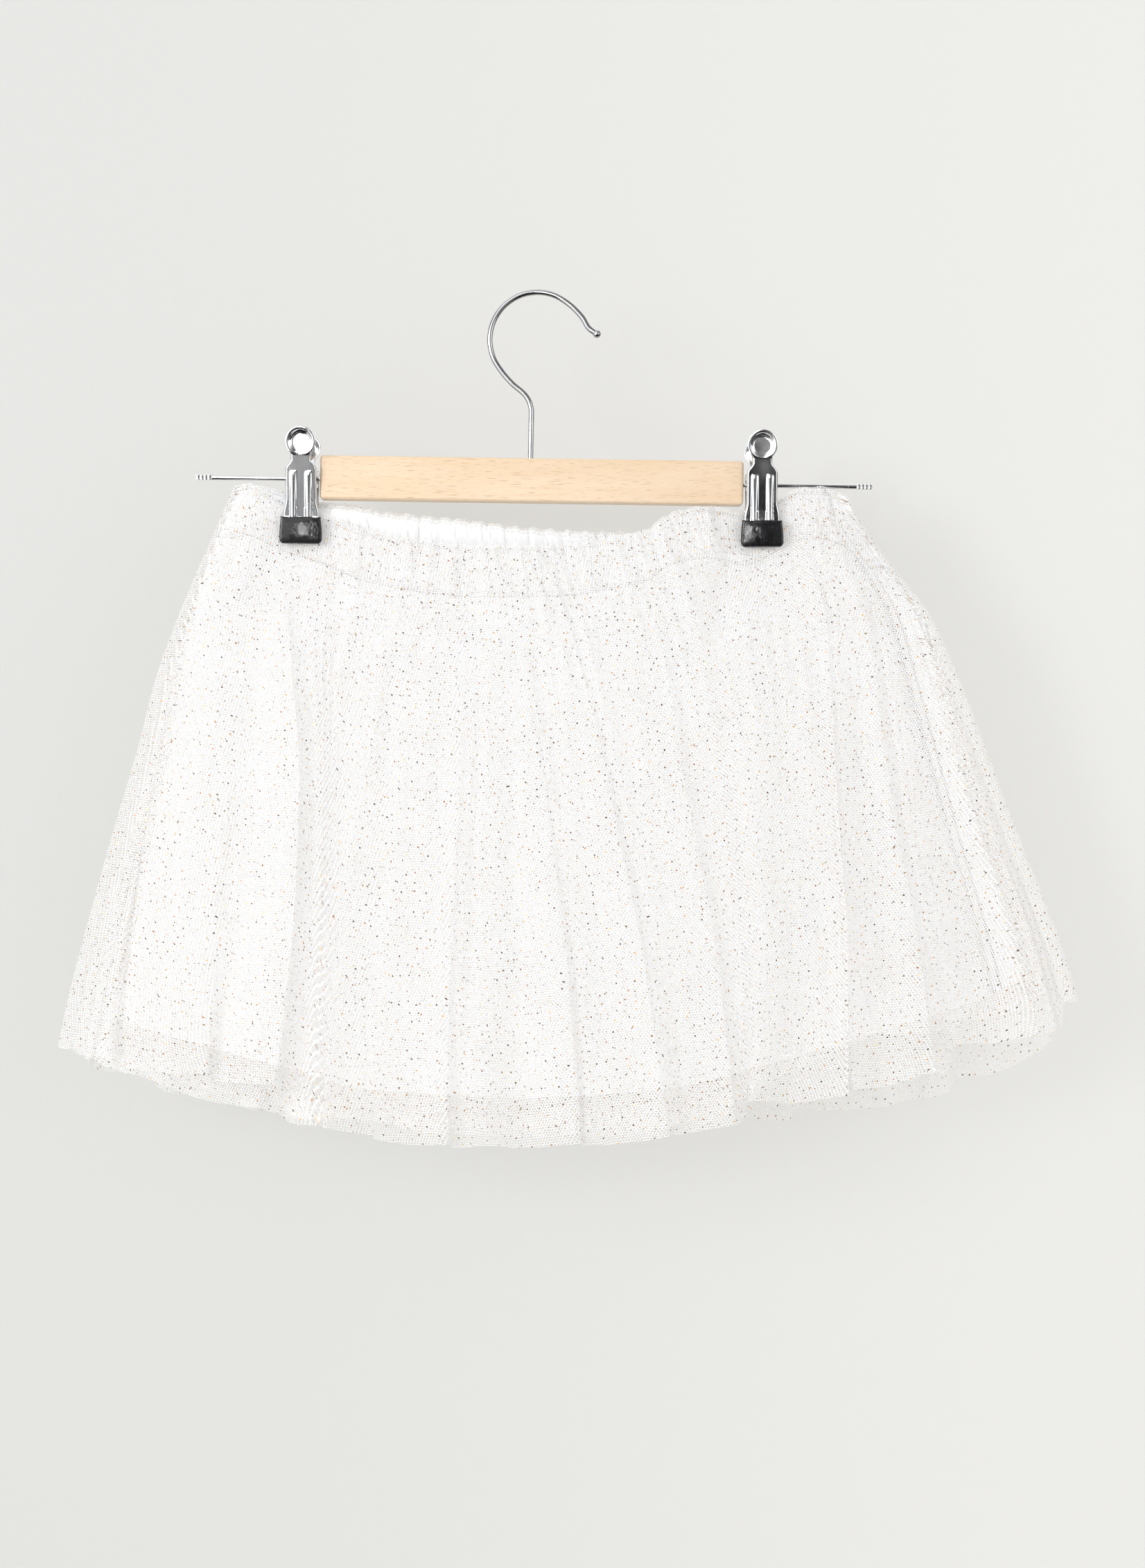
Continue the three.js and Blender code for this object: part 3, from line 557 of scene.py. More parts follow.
def tube_along(name, points, radius, sides=24):
    """A capped round bar of given radius, or radii, along a smooth row of points."""
    points = np.asarray(points, float)
    radii = np.broadcast_to(np.asarray(radius, float), (len(points),))
    tangent = np.gradient(points, axis=0)
    tangent /= np.linalg.norm(tangent, axis=1, keepdims=True)
    frame_x = np.cross(tangent[0], (0, 1, 0))
    rings = []
    turn = np.linspace(0, 2 * np.pi, sides, endpoint=False)
    for point, axis, size in zip(points, tangent, radii):
        frame_x = frame_x - axis * frame_x.dot(axis)
        frame_x = frame_x / np.linalg.norm(frame_x)
        frame_y = np.cross(axis, frame_x)
        ring = np.outer(np.cos(turn), frame_x) + np.outer(np.sin(turn), frame_y)
        rings.append(point + size * ring)
    faces = grid_faces(len(rings), sides, wrapped=True)
    faces.append(list(range(sides))[::-1])
    faces.append([(len(rings) - 1) * sides + k for k in range(sides)])
    return new_mesh_object(name, np.concatenate(rings), faces)


def flat_piece(name, outlines, thick, edge):
    """A flat plate with rounded edges, drawn in its own XY, with holes where outlines nest."""
    data = bpy.data.curves.new(name, "CURVE")
    data.dimensions = "2D"
    data.fill_mode = "BOTH"
    data.extrude = (thick / 2 - edge) * MM
    data.bevel_depth = edge * MM
    data.bevel_resolution = 3
    data.offset = -edge * MM
    for outline_points in outlines:
        spline = data.splines.new("POLY")
        spline.points.add(len(outline_points) - 1)
        for point, (x, y) in zip(spline.points, outline_points):
            point.co = (x * MM, y * MM, 0, 1)
        spline.use_cyclic_u = True
    source = linked(name + "_drawn", data)
    mesh = bpy.data.meshes.new_from_object(source)
    bpy.data.objects.remove(source)
    return linked(name, mesh)


def smooth_by_angle(piece, degrees=35):
    """Smooth faces, with sharp edges where the shape turns."""
    mesh = piece.data
    mesh.polygons.foreach_set("use_smooth", [True] * len(mesh.polygons))
    mesh.set_sharp_from_angle(angle=math.radians(degrees))


def arc(radius, start, end, count):
    """Points on a round stretch about the origin, between two angles in degrees."""
    angles = np.radians(np.linspace(start, end, count))
    return [(radius * math.cos(a), radius * math.sin(a)) for a in angles]


# ---- Node helpers ----


def feed(node, inputs):
    """Sets or links a node's inputs, by name or number."""
    for key, value in inputs.items():
        if isinstance(value, bpy.types.NodeSocket):
            node.id_data.links.new(value, node.inputs[key])
        else:
            node.inputs[key].default_value = value


def add(tree, kind, inputs=None, **settings):
    """A shader node with its settings, values and links."""
    made = tree.nodes.new("ShaderNode" + kind)
    for name, value in settings.items():
        setattr(made, name, value)
    feed(made, inputs or {})
    return made


def calc(tree, operation, *values):
    return add(tree, "Math", dict(enumerate(values)), operation=operation).outputs[0]


def vector_calc(tree, operation, *values, output=0):
    made = add(tree, "VectorMath", dict(enumerate(values)), operation=operation)
    return made.outputs[output]


def fade(tree, value, low, high, out_low=0.0, out_high=1.0):
    """A smooth step from out_low to out_high as value goes from low to high."""
    inputs = {0: value, 1: low, 2: high, 3: out_low, 4: out_high}
    return add(tree, "MapRange", inputs, interpolation_type="SMOOTHSTEP").outputs[0]


def blend(tree, factor, first, second, mode="MIX"):
    """Colour first, going to second where factor is 1."""
    inputs = {0: factor, 6: first, 7: second}
    return add(tree, "Mix", inputs, data_type="RGBA", blend_type=mode).outputs[2]


def choose(tree, value, stops):
    """The colour of the last (place, colour) stop at or below value."""
    made = add(tree, "ValToRGB", {0: value})
    made.color_ramp.interpolation = "CONSTANT"
    elements = made.color_ramp.elements
    while len(elements) < len(stops):
        elements.new(0.5)
    for element, (place, colour) in zip(elements, stops):
        element.position = place
        element.color = (*colour, 1)
    return made.outputs[0]


def new_material(name):
    material = bpy.data.materials.new(name)
    material.use_nodes = True
    tree = material.node_tree
    return material, tree, tree.nodes["Principled BSDF"]


def noise(tree, vector, scale, detail=2.0, roughness=0.5):
    inputs = {"Vector": vector, "Scale": scale, "Detail": detail, "Roughness": roughness}
    return add(tree, "TexNoise", inputs).outputs[0]


def bump(tree, height, distance, strength=1.0):
    inputs = {"Height": height, "Distance": distance, "Strength": strength}
    return add(tree, "Bump", inputs).outputs[0]


def parts_of(tree, vector):
    """A vector's x, y and z sockets."""
    return add(tree, "SeparateXYZ", {0: vector}).outputs


def grey(tree, value):
    return add(tree, "CombineColor", {0: value, 1: value, 2: value}).outputs[0]


def wave(tree, along, length):
    """A sine wave of this length."""
    return calc(tree, "SINE", calc(tree, "MULTIPLY", along, 2 * math.pi / length))


def object_place(tree):
    """The place on a piece in metres, about the part's origin."""
    return add(tree, "TexCoord").outputs["Object"]


def cloth_place(tree):
    """The place on the cloth in millimetres, across and down."""
    return add(tree, "Attribute", attribute_name="cloth").outputs["Vector"]


# ---- Materials of the cloth ----

NET_CELL = 1.6
THREAD_HALF = (0.068, 0.11)  # in cells, where it is thinnest and thickest
DOT_SPACING = 5.2
SPECK_SPACING = 2.2
WEAVE = 0.62
STITCH = 3.1
TULLE_WHITE = (0.945, 0.95, 0.96, 1)
TULLE_WARM = (0.930825, 0.9234, 0.9216, 1)
COTTON_WHITE = (0.94, 0.945, 0.95, 1)
FOIL_COLOURS = [
    (0.00, (0.46, 0.36, 0.27)),
    (0.22, (0.24, 0.15, 0.095)),
    (0.42, (0.10, 0.055, 0.035)),
    (0.66, (0.36, 0.16, 0.055)),
    (0.80, (0.64, 0.37, 0.14)),
    (0.94, (0.95, 0.76, 0.42)),
]
DUST_COLOURS = [
    (0.00, (0.78, 0.69, 0.60)),
    (0.26, (0.60, 0.47, 0.36)),
    (0.46, (0.86, 0.65, 0.38)),
    (0.74, (1.00, 0.97, 0.90)),
]


def hexagon_edges(tree, place):
    """Distance to the threads of a hexagonal net, in cells."""
    half = (0.5, math.sqrt(3) / 2, 0)
    minus = (-0.5, -math.sqrt(3) / 2, 0)
    cell = vector_calc(tree, "MULTIPLY", place, (1 / NET_CELL,) * 3)
    moved = vector_calc(tree, "ADD", cell, half)
    reach = []
    for lattice in (cell, moved):
        wrapped = vector_calc(tree, "WRAP", lattice, half, minus)
        offset = vector_calc(tree, "ABSOLUTE", wrapped)
        slanted = vector_calc(tree, "DOT_PRODUCT", offset, half, output=1)
        reach.append(calc(tree, "MAXIMUM", slanted, parts_of(tree, offset)[0]))
    return calc(tree, "SUBTRACT", 0.5, calc(tree, "MINIMUM", *reach))


def glitter(tree, place, spacing, low, high, shift):
    """Round foil dots: their mask, and a random number for each."""
    moved = vector_calc(tree, "ADD", place, (shift, shift * 0.7, 0))
    inputs = {"Vector": moved, "Scale": 1 / spacing, "Randomness": 0.9}
    cells = add(tree, "TexVoronoi", inputs, voronoi_dimensions="2D")
    chance = add(tree, "SeparateColor", {0: cells.outputs["Color"]})
    radius = fade(tree, chance.outputs[1], 0.0, 1.0, low / spacing, high / spacing)
    mask = calc(tree, "LESS_THAN", cells.outputs["Distance"], radius)
    return mask, chance.outputs[0]


def tulle_material(name, shift):
    """White hexagonal net with foil dots, clear between its threads."""
    material, tree, shader = new_material(name)
    place = cloth_place(tree)
    edge = hexagon_edges(tree, place)
    slub = noise(tree, place, 0.9)
    width = fade(tree, slub, 0.2, 0.8, *THREAD_HALF)
    inside = calc(tree, "SUBTRACT", edge, width)
    thread = fade(tree, inside, -0.03, 0.025, 1.0, 0.0)
    dots, chance = glitter(tree, place, DOT_SPACING, 0.22, 0.5, shift)
    foil = choose(tree, chance, FOIL_COLOURS)
    specks, luck = glitter(tree, place, SPECK_SPACING, 0.13, 0.27, shift + 11.7)
    dust = choose(tree, luck, DUST_COLOURS)
    shade = noise(tree, place, 0.035)
    cloth = blend(tree, fade(tree, shade, 0.3, 0.7), TULLE_WHITE, TULLE_WARM)
    dusted = blend(tree, specks, cloth, dust)
    feed(shader, {
        "Base Color": blend(tree, dots, dusted, foil),
        "Alpha": calc(tree, "MAXIMUM", calc(tree, "MAXIMUM", thread, specks), dots),
        "Metallic": calc(tree, "MULTIPLY", dots, 0.3),
        "Roughness": fade(tree, dots, 0.0, 1.0, 0.75, 0.35),
        "Normal": bump(tree, thread, 0.00012),
    })
    return material


def cotton_material(name, seams, drawn_in):
    """Plain woven cotton. seams are how far down its stitch rows run, drawn_in its creasing,
    with painted shade along each crease.
    """
    material, tree, shader = new_material(name)
    place = cloth_place(tree)
    across, down, _ = parts_of(tree, place)
    weave = calc(tree, "MULTIPLY", wave(tree, across, WEAVE), wave(tree, down, WEAVE))
    slub = noise(tree, place, 1.4, 3.0)
    height = calc(tree, "MULTIPLY_ADD", weave, 0.4, slub)
    value = fade(tree, noise(tree, place, 0.05), 0.3, 0.7, 0.965, 1.0)
    if drawn_in:
        wander = noise(tree, place, 0.09)
        along = calc(tree, "MULTIPLY_ADD", wander, 5.0, across)
        inputs = {"W": along, "Scale": 1 / drawn_in, "Randomness": 1.0}
        cells = add(tree, "TexVoronoi", inputs, voronoi_dimensions="1D")
        cells.feature = "DISTANCE_TO_EDGE"
        depth = fade(tree, noise(tree, place, 0.13, 1.0), 0.36, 0.62)
        crease_and_shade = fade(tree, cells.outputs["Distance"], 0.006, 0.07, 1.0, 0.0)
        crease_and_shade = calc(tree, "MULTIPLY", crease_and_shade, depth)
        # painted shade: the colour darkens along each crease, as well as the crease's bump below
        value = calc(tree, "MULTIPLY_ADD", crease_and_shade, -0.1, value)
        height = calc(tree, "MULTIPLY_ADD", crease_and_shade, -2.2, height)
    for seam in seams:
        near = calc(tree, "ABSOLUTE", calc(tree, "SUBTRACT", down, seam))
        line = fade(tree, near, 0.25, 0.5, 1.0, 0.0)
        stitch = calc(tree, "MULTIPLY", line, fade(tree, wave(tree, across, STITCH), -0.5, -0.2))
        gutter = fade(tree, near, 0.5, 1.4, 1.0, 0.0)
        height = calc(tree, "MULTIPLY_ADD", stitch, 2.0, height)
        height = calc(tree, "MULTIPLY_ADD", gutter, -1.6, height)
    feed(shader, {
        "Base Color": blend(tree, 1.0, COTTON_WHITE, grey(tree, value), "MULTIPLY"),
        "Normal": bump(tree, height, 0.00014),
        "Roughness": 0.9,
        "Sheen Weight": 0.15,
    })
    return material


# ---- Materials of the hanger ----

BEECH_PALE = (0.70, 0.535, 0.37, 1)
BEECH_WARM = (0.73, 0.57, 0.415, 1)
BEECH_GRAIN = (0.68, 0.50, 0.32, 1)
BEECH_FLECK = (0.40, 0.24, 0.12, 1)
VINYL_BLACK = (0.006, 0.006, 0.007, 1)
VINYL_DUST = (0.2, 0.2, 0.2, 1)


def beech_material():
    """Pale lacquered beech, its grain and short flecks along the bar."""
    material, tree, shader = new_material("beech")
    place = object_place(tree)

    def grain(along, across, detail, roughness=0.5):
        stretched = vector_calc(tree, "MULTIPLY", place, (along, across, across))
        return noise(tree, stretched, 1.0, detail, roughness)

    bands = grain(22.0, 420.0, 5.0, 0.6)
    flecks = fade(tree, grain(130.0, 2300.0, 1.0), 0.61, 0.72)
    pale = blend(tree, fade(tree, grain(9.0, 60.0, 2.0), 0.35, 0.65), BEECH_PALE, BEECH_WARM)
    grained = blend(tree, fade(tree, bands, 0.42, 0.75, 0.0, 0.65), pale, BEECH_GRAIN)
    feed(shader, {
        "Base Color": blend(tree, calc(tree, "MULTIPLY", flecks, 0.6), grained, BEECH_FLECK),
        "Roughness": fade(tree, bands, 0.3, 0.8, 0.36, 0.5),
        "Normal": bump(tree, bands, 0.00012, 0.6),
        "Coat Weight": 0.2,
        "Coat Roughness": 0.3,
    })
    return material


def chrome_material(name, level):
    """Bright plated steel with faint waves and a little handling haze."""
    material, tree, shader = new_material(name)
    place = object_place(tree)
    haze = noise(tree, place, 55.0, 3.0)
    waves = noise(tree, place, 260.0, 1.0)
    dull = (0.87 * level, 0.88 * level, 0.91 * level, 1)
    clean = (level, level, level, 1)
    feed(shader, {
        "Base Color": blend(tree, fade(tree, haze, 0.3, 0.7), dull, clean),
        "Metallic": 1.0,
        "Roughness": fade(tree, haze, 0.35, 0.75, 0.07, 0.2),
        "Normal": bump(tree, waves, 0.00008, 0.5),
    })
    return material


def vinyl_material():
    """Glossy black dipped vinyl with a slightly uneven skin and a little dust."""
    material, tree, shader = new_material("vinyl")
    place = object_place(tree)
    skin = noise(tree, place, 210.0)
    dust = fade(tree, noise(tree, place, 1500.0), 0.62, 0.72)
    feed(shader, {
        "Base Color": blend(tree, calc(tree, "MULTIPLY", dust, 0.12), VINYL_BLACK, VINYL_DUST),
        "Roughness": fade(tree, skin, 0.3, 0.7, 0.12, 0.22),
        "Normal": bump(tree, skin, 0.0004, 0.5),
    })
    return material


outer_tulle = tulle_material("tulle_outer", 0.0)
inner_tulle = tulle_material("tulle_inner", 37.3)
lining_cotton = cotton_material("lining_cotton", [], 0)
casing_cotton = cotton_material("casing_cotton", [1.6, 26.0], 7.5)
beech = beech_material()
chrome = chrome_material("chrome", 0.76)
wire_steel = chrome_material("wire_steel", 0.5)
vinyl = vinyl_material()


def dress(piece, material, slot, *nodes):
    """Gives a piece its material, puts it on the body and lets it stand for CAD nodes."""
    piece.data.materials.clear()
    piece.data.materials.append(material)
    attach(piece, ROOT)
    if nodes:
        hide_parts(*nodes)
    return piece


# ---- The skirt ----


def layer_tube(name, form, count, rows, hems, folds, scallops=(0.0, 0.0), **both):
    """A layer as one tube. hems, folds and scallops are each for its front and its back."""
    front = Panel(-1, form, FRONT_TOP, hems[0], 0.15, folds[0], scallop=scallops[0], **both)
    back = Panel(1, form, BACK_TOP, hems[1], 0.6, folds[1], scallop=scallops[1], **both)
    wall = CASING_WALL if form is CASING else CLOTH_WALL
    return cloth_tube(name, front, back, count, np.linspace(0, 1, rows), wall / 2)


def cloth_pieces():
    """The four layers, each one tube in place of its front and back solids."""
    thinned = 1
    outer = layer_tube(
        "tulle_outer", OUTER, 420 // thinned, 96 // thinned, (OUTER_FRONT_HEM, OUTER_BACK_HEM),
        (OUTER_FRONT_FOLDS, OUTER_BACK_FOLDS), (0.4, 0.3),
    )
    inner = layer_tube(
        "tulle_inner", INNER, 300 // thinned, 70 // thinned, [INNER_HEM] * 2,
        [INNER_FOLDS] * 2, (0.5, 0.5), shift=0.8, gathered=0.7, rippled=0.6,
    )
    lining = layer_tube(
        "lining_cloth", LINING, 300 // thinned, 60 // thinned, [LINING_HEM] * 2,
        [LINING_FOLDS] * 2, shift=CASING_BELOW + CASING_HEIGHT + 0.1, gathered=0.45, rippled=0.4,
    )
    casing = layer_tube(
        "waist_casing", CASING, 420 // thinned, 13, [INNER_HEM] * 2,
        [None] * 2, shift=CASING_BELOW, height=CASING_HEIGHT, gathered=0.45, rippled=0.0,
    )
    thick = casing.modifiers.new("thickness", "SOLIDIFY")
    thick.thickness = CASING_WALL * 0.8 * MM
    thick.offset = 0
    dress(outer, outer_tulle, "tulle", "tulle_outer_front", "tulle_outer_back")
    dress(inner, inner_tulle, "tulle", "tulle_inner_front", "tulle_inner_back")
    dress(lining, lining_cotton, "cotton", "lining_front", "lining_back")
    dress(casing, casing_cotton, "cotton", "waistband_front", "waistband_back")
    return outer, inner, lining, casing


# ---- The hanger ----

HANGER = Matrix.Rotation(TILT, 4, "Y")


def placed(piece, matrix):
    """Moves a piece's mesh, leaving its object at the origin."""
    piece.data.transform(matrix)
    piece.data.update()
    return piece


def shift_by(x, y, z):
    return Matrix.Translation(Vector((x, y, z)) * MM)


def smooth_route(points, spacing):
    """A centripetal Catmull-Rom curve through (x, z) points, evenly cut."""
    points = np.array(points, float)
    before = 2 * points[0] - points[1]
    after = 2 * points[-1] - points[-2]
    extended = np.concatenate([[before], points, [after]])
    dense = []
    for k in range(1, len(extended) - 2):
        p0, p1, p2, p3 = extended[k - 1:k + 3]
        t1 = np.linalg.norm(p1 - p0) ** 0.5
        t2 = t1 + np.linalg.norm(p2 - p1) ** 0.5
        t3 = t2 + np.linalg.norm(p3 - p2) ** 0.5
        for t in np.linspace(t1, t2, 40, endpoint=False):
            middle = (t - t1) / (t2 - t1)
            a1 = lerp(p0, p1, t / t1)
            a2 = lerp(p1, p2, middle)
            a3 = lerp(p2, p3, (t - t2) / (t3 - t2))
            b1 = lerp(a1, a2, t / t2)
            b2 = lerp(a2, a3, (t - t1) / (t3 - t1))
            dense.append(lerp(b1, b2, middle))
    dense.append(points[-1])
    dense = np.array(dense)
    length = np.concatenate([[0], np.cumsum(np.linalg.norm(np.diff(dense, axis=0), axis=1))])
    even = np.linspace(0, length[-1], int(length[-1] / spacing) + 1)
    x = np.interp(even, length, dense[:, 0])
    z = np.interp(even, length, dense[:, 1])
    return np.stack([x, 0 * x, z], 1)


def hook_wire():
    """The hook, from its ball end over the crown and down into the bar."""
    turns = np.radians([48, 70, 90, 112, 135, 158, 180, 202, 220])
    loop = [(WIRE_LOOP * math.cos(a), WIRE_LOOP * math.sin(a) - WIRE_LOOP_DROP) for a in turns]
    end = [WIRE_END, (29.4, -18.6), (25.6, -12.6)]
    shank = [(-14.6, -51), (-6.2, -58.4), (-3.3, -64.6)]
    stem = [(STEM_X, -76), (STEM_X, -90), (STEM_X, -STEM_BOTTOM)]
    wire = tube_along("hook_wire", smooth_route(end + loop + shank + stem, 0.9), WIRE_RADIUS)
    smooth_by_angle(wire, 60)
    return dress(placed(wire, HANGER), wire_steel, "chrome", "hanger_hook")


def hook_ball():
    """The rounded end of the hook."""
    turn = np.linspace(0.03, np.pi - 0.03, 17)
    x = WIRE_END[0] - WIRE_BALL * np.cos(turn)
    points = np.stack([x, 0 * x, 0 * x + WIRE_END[1]], 1)
    ball = tube_along("hook_ball", points, WIRE_BALL * np.sin(turn))
    return dress(placed(ball, HANGER), wire_steel, "chrome")


def rod_bar():
    """The rod the clips slide on, with knurled ends."""
    half = ROD_LENGTH / 2
    turn = np.linspace(0, 2 * np.pi, KNURLS * 4, endpoint=False)
    ring = KNURL_LENGTH / KNURL_RINGS
    stations = []
    for k in range(KNURL_RINGS):
        start = -half + k * ring
        stations += [(start, GROOVE_SIZE), (start + 0.4, 1.0), (start + ring - 0.4, 1.0)]
    stations += [(-half + KNURL_LENGTH, GROOVE_SIZE), (-half + KNURL_LENGTH + 0.3, PLAIN_SIZE)]
    stations += [(-x, size) for x, size in stations[::-1]]
    rings = []
    for x, size in stations:
        knurled = abs(x) > half - KNURL_LENGTH - 0.1
        groove = 0.07 * (1 - np.cos(turn * KNURLS)) if knurled else 0 * turn
        radius = ROD_RADIUS * size * (1 - groove)
        z = radius * np.sin(turn) - ROD_DROP
        rings.append(np.stack([0 * turn + x + ROD_X, radius * np.cos(turn), z], 1))
    wide = len(turn)
    faces = grid_faces(len(rings), wide, wrapped=True, flipped=True)
    faces.append(list(range(wide)))
    faces.append([(len(rings) - 1) * wide + k for k in range(wide)][::-1])
    rod = new_mesh_object("rod_bar", np.concatenate(rings), faces)
    smooth_by_angle(rod, 30)
    return dress(placed(rod, HANGER), chrome, "chrome", "hanger_rod")


def plate_out(up):
    """How far a clip's plate stands out from the rod."""
    sloped = PLATE_STAND + up * PLATE_FLARE
    return lerp(sloped, PLATE_TOE, smoothstep(-up, 21, 27))


def plate_half(up):
    """A clip plate's half width: body, neck and round grip."""
    ring = np.sqrt(np.maximum(RING_RADIUS ** 2 - (up - RING_UP) ** 2, 0.02))
    body = lerp(PLATE_LOW_HALF, PLATE_HALF, smoothstep(up, -20.5, -11))
    neck = lerp(body, NECK_HALF, smoothstep(up, 5.0, 10.5))
    joined = np.maximum(neck, np.where(up > 10.5, np.minimum(ring, 6.2), 0))
    return np.where(up > 13.9, ring, joined)


def plate_relief(x, up):
    """Pressed detail: the rolled and dished grip, and two ribs down the body."""
    reach = np.hypot(x, up - RING_UP)
    dish = -(DISH_DEPTH + 0.2 * (up - RING_UP)) * (1 - smoothstep(reach, 4.7, 6.9))
    bead = np.sqrt(np.clip(1 - ((reach - BEAD_RADIUS) / BEAD_HALF) ** 2, 0, 1))
    rim = BEAD_HEIGHT * bead * smoothstep(up, RING_JOIN, RING_JOIN + 3)
    rib = np.sqrt(np.clip(1 - (abs(abs(x) - RIB_X) / RIB_HALF) ** 2, 0, 1))
    run = smoothstep(up, TIP_TOP - 3, TIP_TOP) * (1 - smoothstep(up, 2.0, 4.4))
    return dish + rim + (RIB_HEIGHT - 0.05 * up) * rib * run


def clip_plate(name):
    """One bent plate, with its side flanges turned in towards the rod."""
    joint = math.asin((RING_JOIN - RING_UP) / RING_RADIUS)
    ups = np.concatenate([
        np.linspace(TIP_BOTTOM + 3, -20, 12, endpoint=False),
        np.linspace(-20, RING_JOIN, 76, endpoint=False),
        RING_UP + RING_RADIUS * np.sin(np.linspace(joint, 1.5, 44)),
    ])
    shares = np.sin(np.linspace(-np.pi / 2, np.pi / 2, 61))
    flanged = smoothstep(ups, -20, -15) * (1 - smoothstep(ups, 4.5, 7.5))
    flange = FLANGE_EDGE + FLANGE_DEPTH * flanged
    rolled = 1 - smoothstep(ups, RING_JOIN, RING_JOIN + 3)
    rows = []
    for up, wide, deep, roll in zip(ups, plate_half(ups), flange, rolled):
        x = shares * wide
        beside = np.clip(abs(x) - wide + PLATE_ROLL, 0, PLATE_ROLL)
        turned_in = PLATE_ROLL - np.sqrt(PLATE_ROLL ** 2 - beside ** 2)
        y = -(plate_out(up) + PLATE_THICK) - plate_relief(x, up) + turned_in * roll
        side = y[-1] + deep * np.linspace(1, 0.12, 6)
        section_x = np.concatenate([0 * side - wide, x, 0 * side + wide])
        section_y = np.concatenate([side, y, side[::-1]])
        rows.append(np.stack([section_x, section_y, 0 * section_x + up], 1))
    plate = new_mesh_object(name, np.concatenate(rows), grid_faces(len(rows), len(rows[0])))
    thick = plate.modifiers.new("thickness", "SOLIDIFY")
    thick.thickness = PLATE_METAL * MM
    thick.offset = -1
    return plate


def ear(name, x):
    """The lug that carries a plate on the rod."""
    outer = arc(EAR_RADIUS, -90, 90, 24)
    outer += [(-plate_out(5) - 0.2, 5), (-plate_out(-5) - 0.2, -5)]
    bore = arc(EAR_BORE, 0, 360, 33)[:-1]
    lug = flat_piece(name, [outer, bore], EAR_THICK, 0.15)
    upright = Matrix(((0, 0, 1, 0), (1, 0, 0, 0), (0, 1, 0, 0), (0, 0, 0, 1)))
    return placed(lug, shift_by(x, 0, 0) @ upright)


def clip_tip(name):
    """The dipped vinyl end of a plate, full in the middle and round at its edges."""
    down = ((1 - np.cos(np.linspace(0, np.pi, 33))) / 2)[:, None]
    across = np.sin(np.linspace(-np.pi / 2, np.pi / 2, 41))[None, :]
    height = TIP_TOP - TIP_BOTTOM
    fall = down * height
    left = np.clip(TIP_ROUND - (height - fall), 0, TIP_ROUND)
    half = lerp(TIP_HALF - TIP_TAPER, TIP_HALF, smoothstep(down, 0, 0.6))
    half = half - TIP_ROUND + np.sqrt(TIP_ROUND ** 2 - left ** 2)
    edge_x = 1 - np.clip(half * (1 - abs(across)) / TIP_SIDE_EDGE, 0, 1)
    edge_z = 1 - np.clip(np.minimum(fall, height - fall) / TIP_END_EDGE, 0, 1)
    rounding = np.sqrt(1 - edge_x ** 2) * np.sqrt(1 - edge_z ** 2)
    crown = TIP_CROWN * (1 - across ** 2) * (1 - (2 * down - 1) ** 4)
    sag = 0.16 * np.sin(5 * across + 0.7) * (1 - down) ** 3
    x = half * across
    z = TIP_TOP - fall + sag
    middle = -TIP_INNER - TIP_THICK / 2
    front = middle - TIP_THICK / 2 * rounding - crown - TIP_LEAN * (0.5 - down)
    back = middle + (TIP_THICK / 2 - 0.05) * rounding
    sheets = [np.stack([x, y, z], -1).reshape(-1, 3) for y in (front, back)]
    tall, wide = x.shape
    count = tall * wide
    faces = grid_faces(tall, wide, flipped=True)
    faces += [[corner + count for corner in quad[::-1]] for quad in faces]
    rim = list(range(wide))
    rim += [r * wide + wide - 1 for r in range(1, tall)]
    rim += [(tall - 1) * wide + k for k in range(wide - 2, -1, -1)]
    rim += [r * wide for r in range(tall - 2, 0, -1)]
    for a, b in zip(rim, rim[1:] + rim[:1]):
        faces.append([a, b, b + count, a + count])
    return new_mesh_object(name, np.concatenate(sheets), faces)


def clip_coil(name):
    """The spring round the rod, with a leg against each plate."""
    steps = COIL_TURNS * 28
    turn = math.radians(200) + np.linspace(0, math.radians(360 * COIL_TURNS + 140), steps)
    x = np.linspace(-COIL_HALF, COIL_HALF, steps)
    coil = np.stack([x, COIL_RADIUS * np.cos(turn), COIL_RADIUS * np.sin(turn)], 1)
    foot = plate_out(COIL_LEG_UP) - COIL_LEG_GAP
    first = np.array([(-COIL_HALF, -foot, COIL_LEG_UP)])
    last = np.array([(COIL_HALF, foot, COIL_LEG_UP)])
    leg_in = lerp(first, coil[:1], np.linspace(0, 1, 12)[:-1, None])
    leg_out = lerp(coil[-1:], last, np.linspace(0, 1, 12)[1:, None])
    return tube_along(name, np.concatenate([leg_in, coil, leg_out]), COIL_WIRE, 10)


def clip_pieces():
    """Both clips, each with two plates, their lugs and tips, and a spring."""
    for name, x, rise, lean in CLIPS:
        base = HANGER @ shift_by(x, 0, -ROD_DROP + rise) @ Matrix.Rotation(lean, 4, "Y")
        for half, turn, ear_x in CLIP_HALVES:
            place = base @ Matrix.Rotation(turn, 4, "Z")
            plate = dress(clip_plate(f"{name}_{half}_plate"), chrome, "chrome", f"{name}_{half}")
            placed(plate, place)
            for word, where in (("inner", -ear_x), ("outer", ear_x)):
                lug = ear(f"{name}_{half}_{word}_ear", where)
                smooth_by_angle(lug)
                dress(placed(lug, place), chrome, "chrome")
            tip = clip_tip(f"{name}_{half}_dip")
            smooth_by_angle(tip, 50)
            dress(placed(tip, place), vinyl, "vinyl", f"{name}_{half}_tip")
        coil = clip_coil(f"{name}_coil")
        placed(coil, HANGER @ shift_by(x, 0, -ROD_DROP))
        dress(coil, chrome, "chrome", f"{name}_spring")


